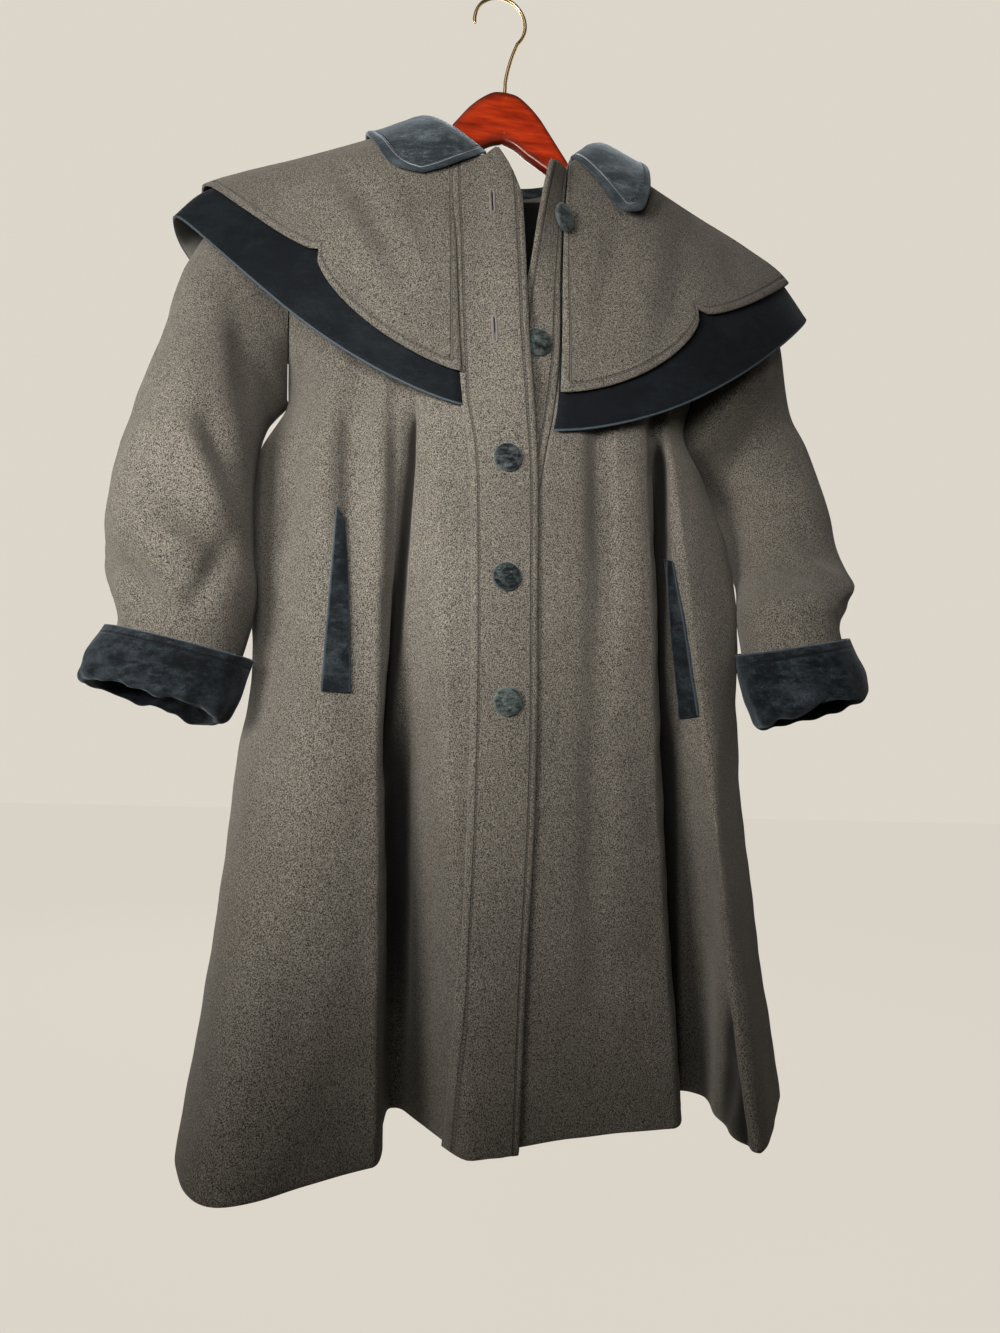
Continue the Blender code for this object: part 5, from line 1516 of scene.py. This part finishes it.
def photograph_camera(name):
    """The camera where the photograph was taken: turned to the side, then up, then rolled."""
    across = Vector((math.sin(CAMERA_YAW), math.cos(CAMERA_YAW), 0.0)) * math.cos(CAMERA_PITCH)
    ahead = across + Vector((0.0, 0.0, math.sin(CAMERA_PITCH)))
    level = Vector((math.cos(CAMERA_YAW), -math.sin(CAMERA_YAW), 0.0))
    rise = level.cross(ahead)
    right = math.cos(CAMERA_ROLL) * level + math.sin(CAMERA_ROLL) * rise
    up = -math.sin(CAMERA_ROLL) * level + math.cos(CAMERA_ROLL) * rise
    lens = bpy.data.cameras.new(name)
    lens.sensor_fit = "VERTICAL"
    lens.sensor_height = SENSOR
    lens.lens = SENSOR * FOCAL_PIXELS / IMAGE_HEIGHT
    item = bpy.data.objects.new(name, lens)
    turned = Matrix((right, up, -ahead)).transposed().to_4x4()
    item.matrix_world = Matrix.Translation(Vector(CAMERA_AT + ROW)) @ turned
    bpy.context.scene.collection.objects.link(item)
    bpy.context.scene.camera = item


photograph_camera("photograph_camera")

# Finishes
wool_plain = wool_finish("wool_felted", WOOL_DARK, WOOL_LIGHT)
wool_band = wool_finish("wool_band", WOOL_DARK, WOOL_LIGHT, sewn_at=0.0055)
wool_cape = wool_finish("wool_cape", WOOL_DARK, WOOL_LIGHT, sewn_at=0.0060)
velvet_cape = velvet_finish("velvet_cape", NAVY, NAVY_RUBBED, wear=0.15, sheen=0.06, rim=0.7)
# The collar's paler tones hold painted sheen as well as wear
velvet_collar = velvet_finish("velvet_collar", NAVY_SOFT, NAVY_PALE, wear=1.0, sheen=0.30, sewn_at=0.0085,
                              band=0.6)
velvet_cuff = velvet_finish("velvet_cuff", NAVY, NAVY_RUBBED, wear=0.90, sheen=0.12, crushed=60.0, rim=0.4,
                            sewn_at=0.0092)
velvet_welt = velvet_finish("velvet_welt", NAVY, NAVY_RUBBED, wear=0.80, sheen=0.12, rim=0.4)
velvet_button = velvet_finish("velvet_button", NAVY, BUTTON_PALE, wear=1.0, rim=0.2, crushed=130.0)
# The black lining also fills the buttonholes' slits as painted shade
lining_black = lining_finish("lining_black", (0.0045, 0.0042, 0.0042))
lining_grey = lining_finish("lining_grey", (0.110, 0.106, 0.100))
thread_grey = thread_finish("thread_grey", (0.055, 0.050, 0.044))

# Pieces
lined_wool = [wool_plain, lining_black]
front_cloth("front_right_cloth", "front_right", RIGHT, "placket_seam", lined_wool)
front_cloth("front_left_cloth", "front_left", LEFT, "underlap_seam", lined_wool)
back_cloth("back_cloth", "back", lined_wool)
band_cloth("placket_cloth", "placket_right", placket_surface, PLACKET, PLACKET_LIFT, 1, PLACKET_WIDTH,
           [wool_band])
band_cloth("underlap_cloth", "underlap_left", underlap_surface, UNDERLAP, -DOUBLED, -1, UNDERLAP_WIDTH,
           [wool_band])
cape_cloth([velvet_cape, lining_grey], [wool_cape])
collar_cloth("collar_cloth", "collar", [velvet_collar])
for side, node in ((RIGHT, "sleeve_right"), (LEFT, "sleeve_left")):
    sleeve_cloth(node + "_cloth", node, side, lined_wool)
for side, node in ((RIGHT, "cuff_right"), (LEFT, "cuff_left")):
    cuff_cloth(node + "_cloth", node, side, [velvet_cuff])
for welt in WELTS:
    welt_cloth(welt.name + "_cloth", welt, [velvet_welt])
for button in BUTTONS:
    button_cover(button.name + "_cover", button, [velvet_button])
for count, hole in enumerate(HOLES, 1):
    buttonhole(f"buttonhole_{count}", hole, [thread_grey, lining_black])
hanger_shape("hanger_lacquered", "hanger_wood", [lacquer_finish("cherry_lacquer")])
hook_shape("hook_wire", "hanger_hook", [brass_finish("brassed_wire")])

# Flat cuts of the sheets: width, length and area, and what each hangs on
CUTS = table(
    "piece width length area held on",
    ("front_right_cloth", 0.46, 0.92, 0.270, "hung", ("hanger_wood",)),
    ("front_left_cloth", 0.50, 0.92, 0.300, "hung", ("hanger_wood",)),
    ("back_cloth", 0.82, 0.92, 0.530, "hung", ("hanger_wood",)),
    ("placket_cloth", 0.065, 0.86, None, "stretched", ("front_right",)),
    ("underlap_cloth", 0.040, 0.85, None, "stretched", ("front_left",)),
    ("cape_velvet_cloth", 0.82, 0.72, 0.260, "draped", ("front_right", "front_left", "back")),
    ("cape_wool_cloth", 0.76, 0.66, 0.210, "draped", ("cape_velvet",)),
    ("collar_cloth", 0.44, 0.24, 0.043, "folded", ("cape_wool",)),
    ("sleeve_right_cloth", 0.44, 0.46, 0.160, "hung", ("front_right", "back")),
    ("sleeve_left_cloth", 0.44, 0.46, 0.155, "hung", ("front_left", "back")),
    ("cuff_right_cloth", 0.42, 0.105, None, "folded", ("sleeve_right",)),
    ("cuff_left_cloth", 0.42, 0.105, None, "folded", ("sleeve_left",)),
    ("welt_right_cloth", 0.023, 0.160, None, "stretched", ("front_right",)),
    ("welt_left_cloth", 0.023, 0.160, None, "stretched", ("front_left",)),
)
for cut in CUTS:
    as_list(cut.on)

# Room
floor_sheet("studio_floor", floor_finish("pale_floor"))
for lamp in LAMPS:
    soft_light(lamp)
studio = bpy.data.worlds.new("studio")
studio.use_nodes = True
nodes, links = studio.node_tree.nodes, studio.node_tree.links
seen = nodes.new("ShaderNodeLightPath")
strength = nodes.new("ShaderNodeMapRange")
links.new(seen.outputs["Is Camera Ray"], strength.inputs["Value"])
strength.inputs["To Min"].default_value = LIT_BY_ROOM
strength.inputs["To Max"].default_value = ROOM_SEEN
room = nodes["Background"]
room.inputs["Color"].default_value = colour(ROOM_TONE)
links.new(strength.outputs["Result"], room.inputs["Strength"])
bpy.context.scene.world = studio
bpy.context.scene.view_settings.view_transform = "Standard"
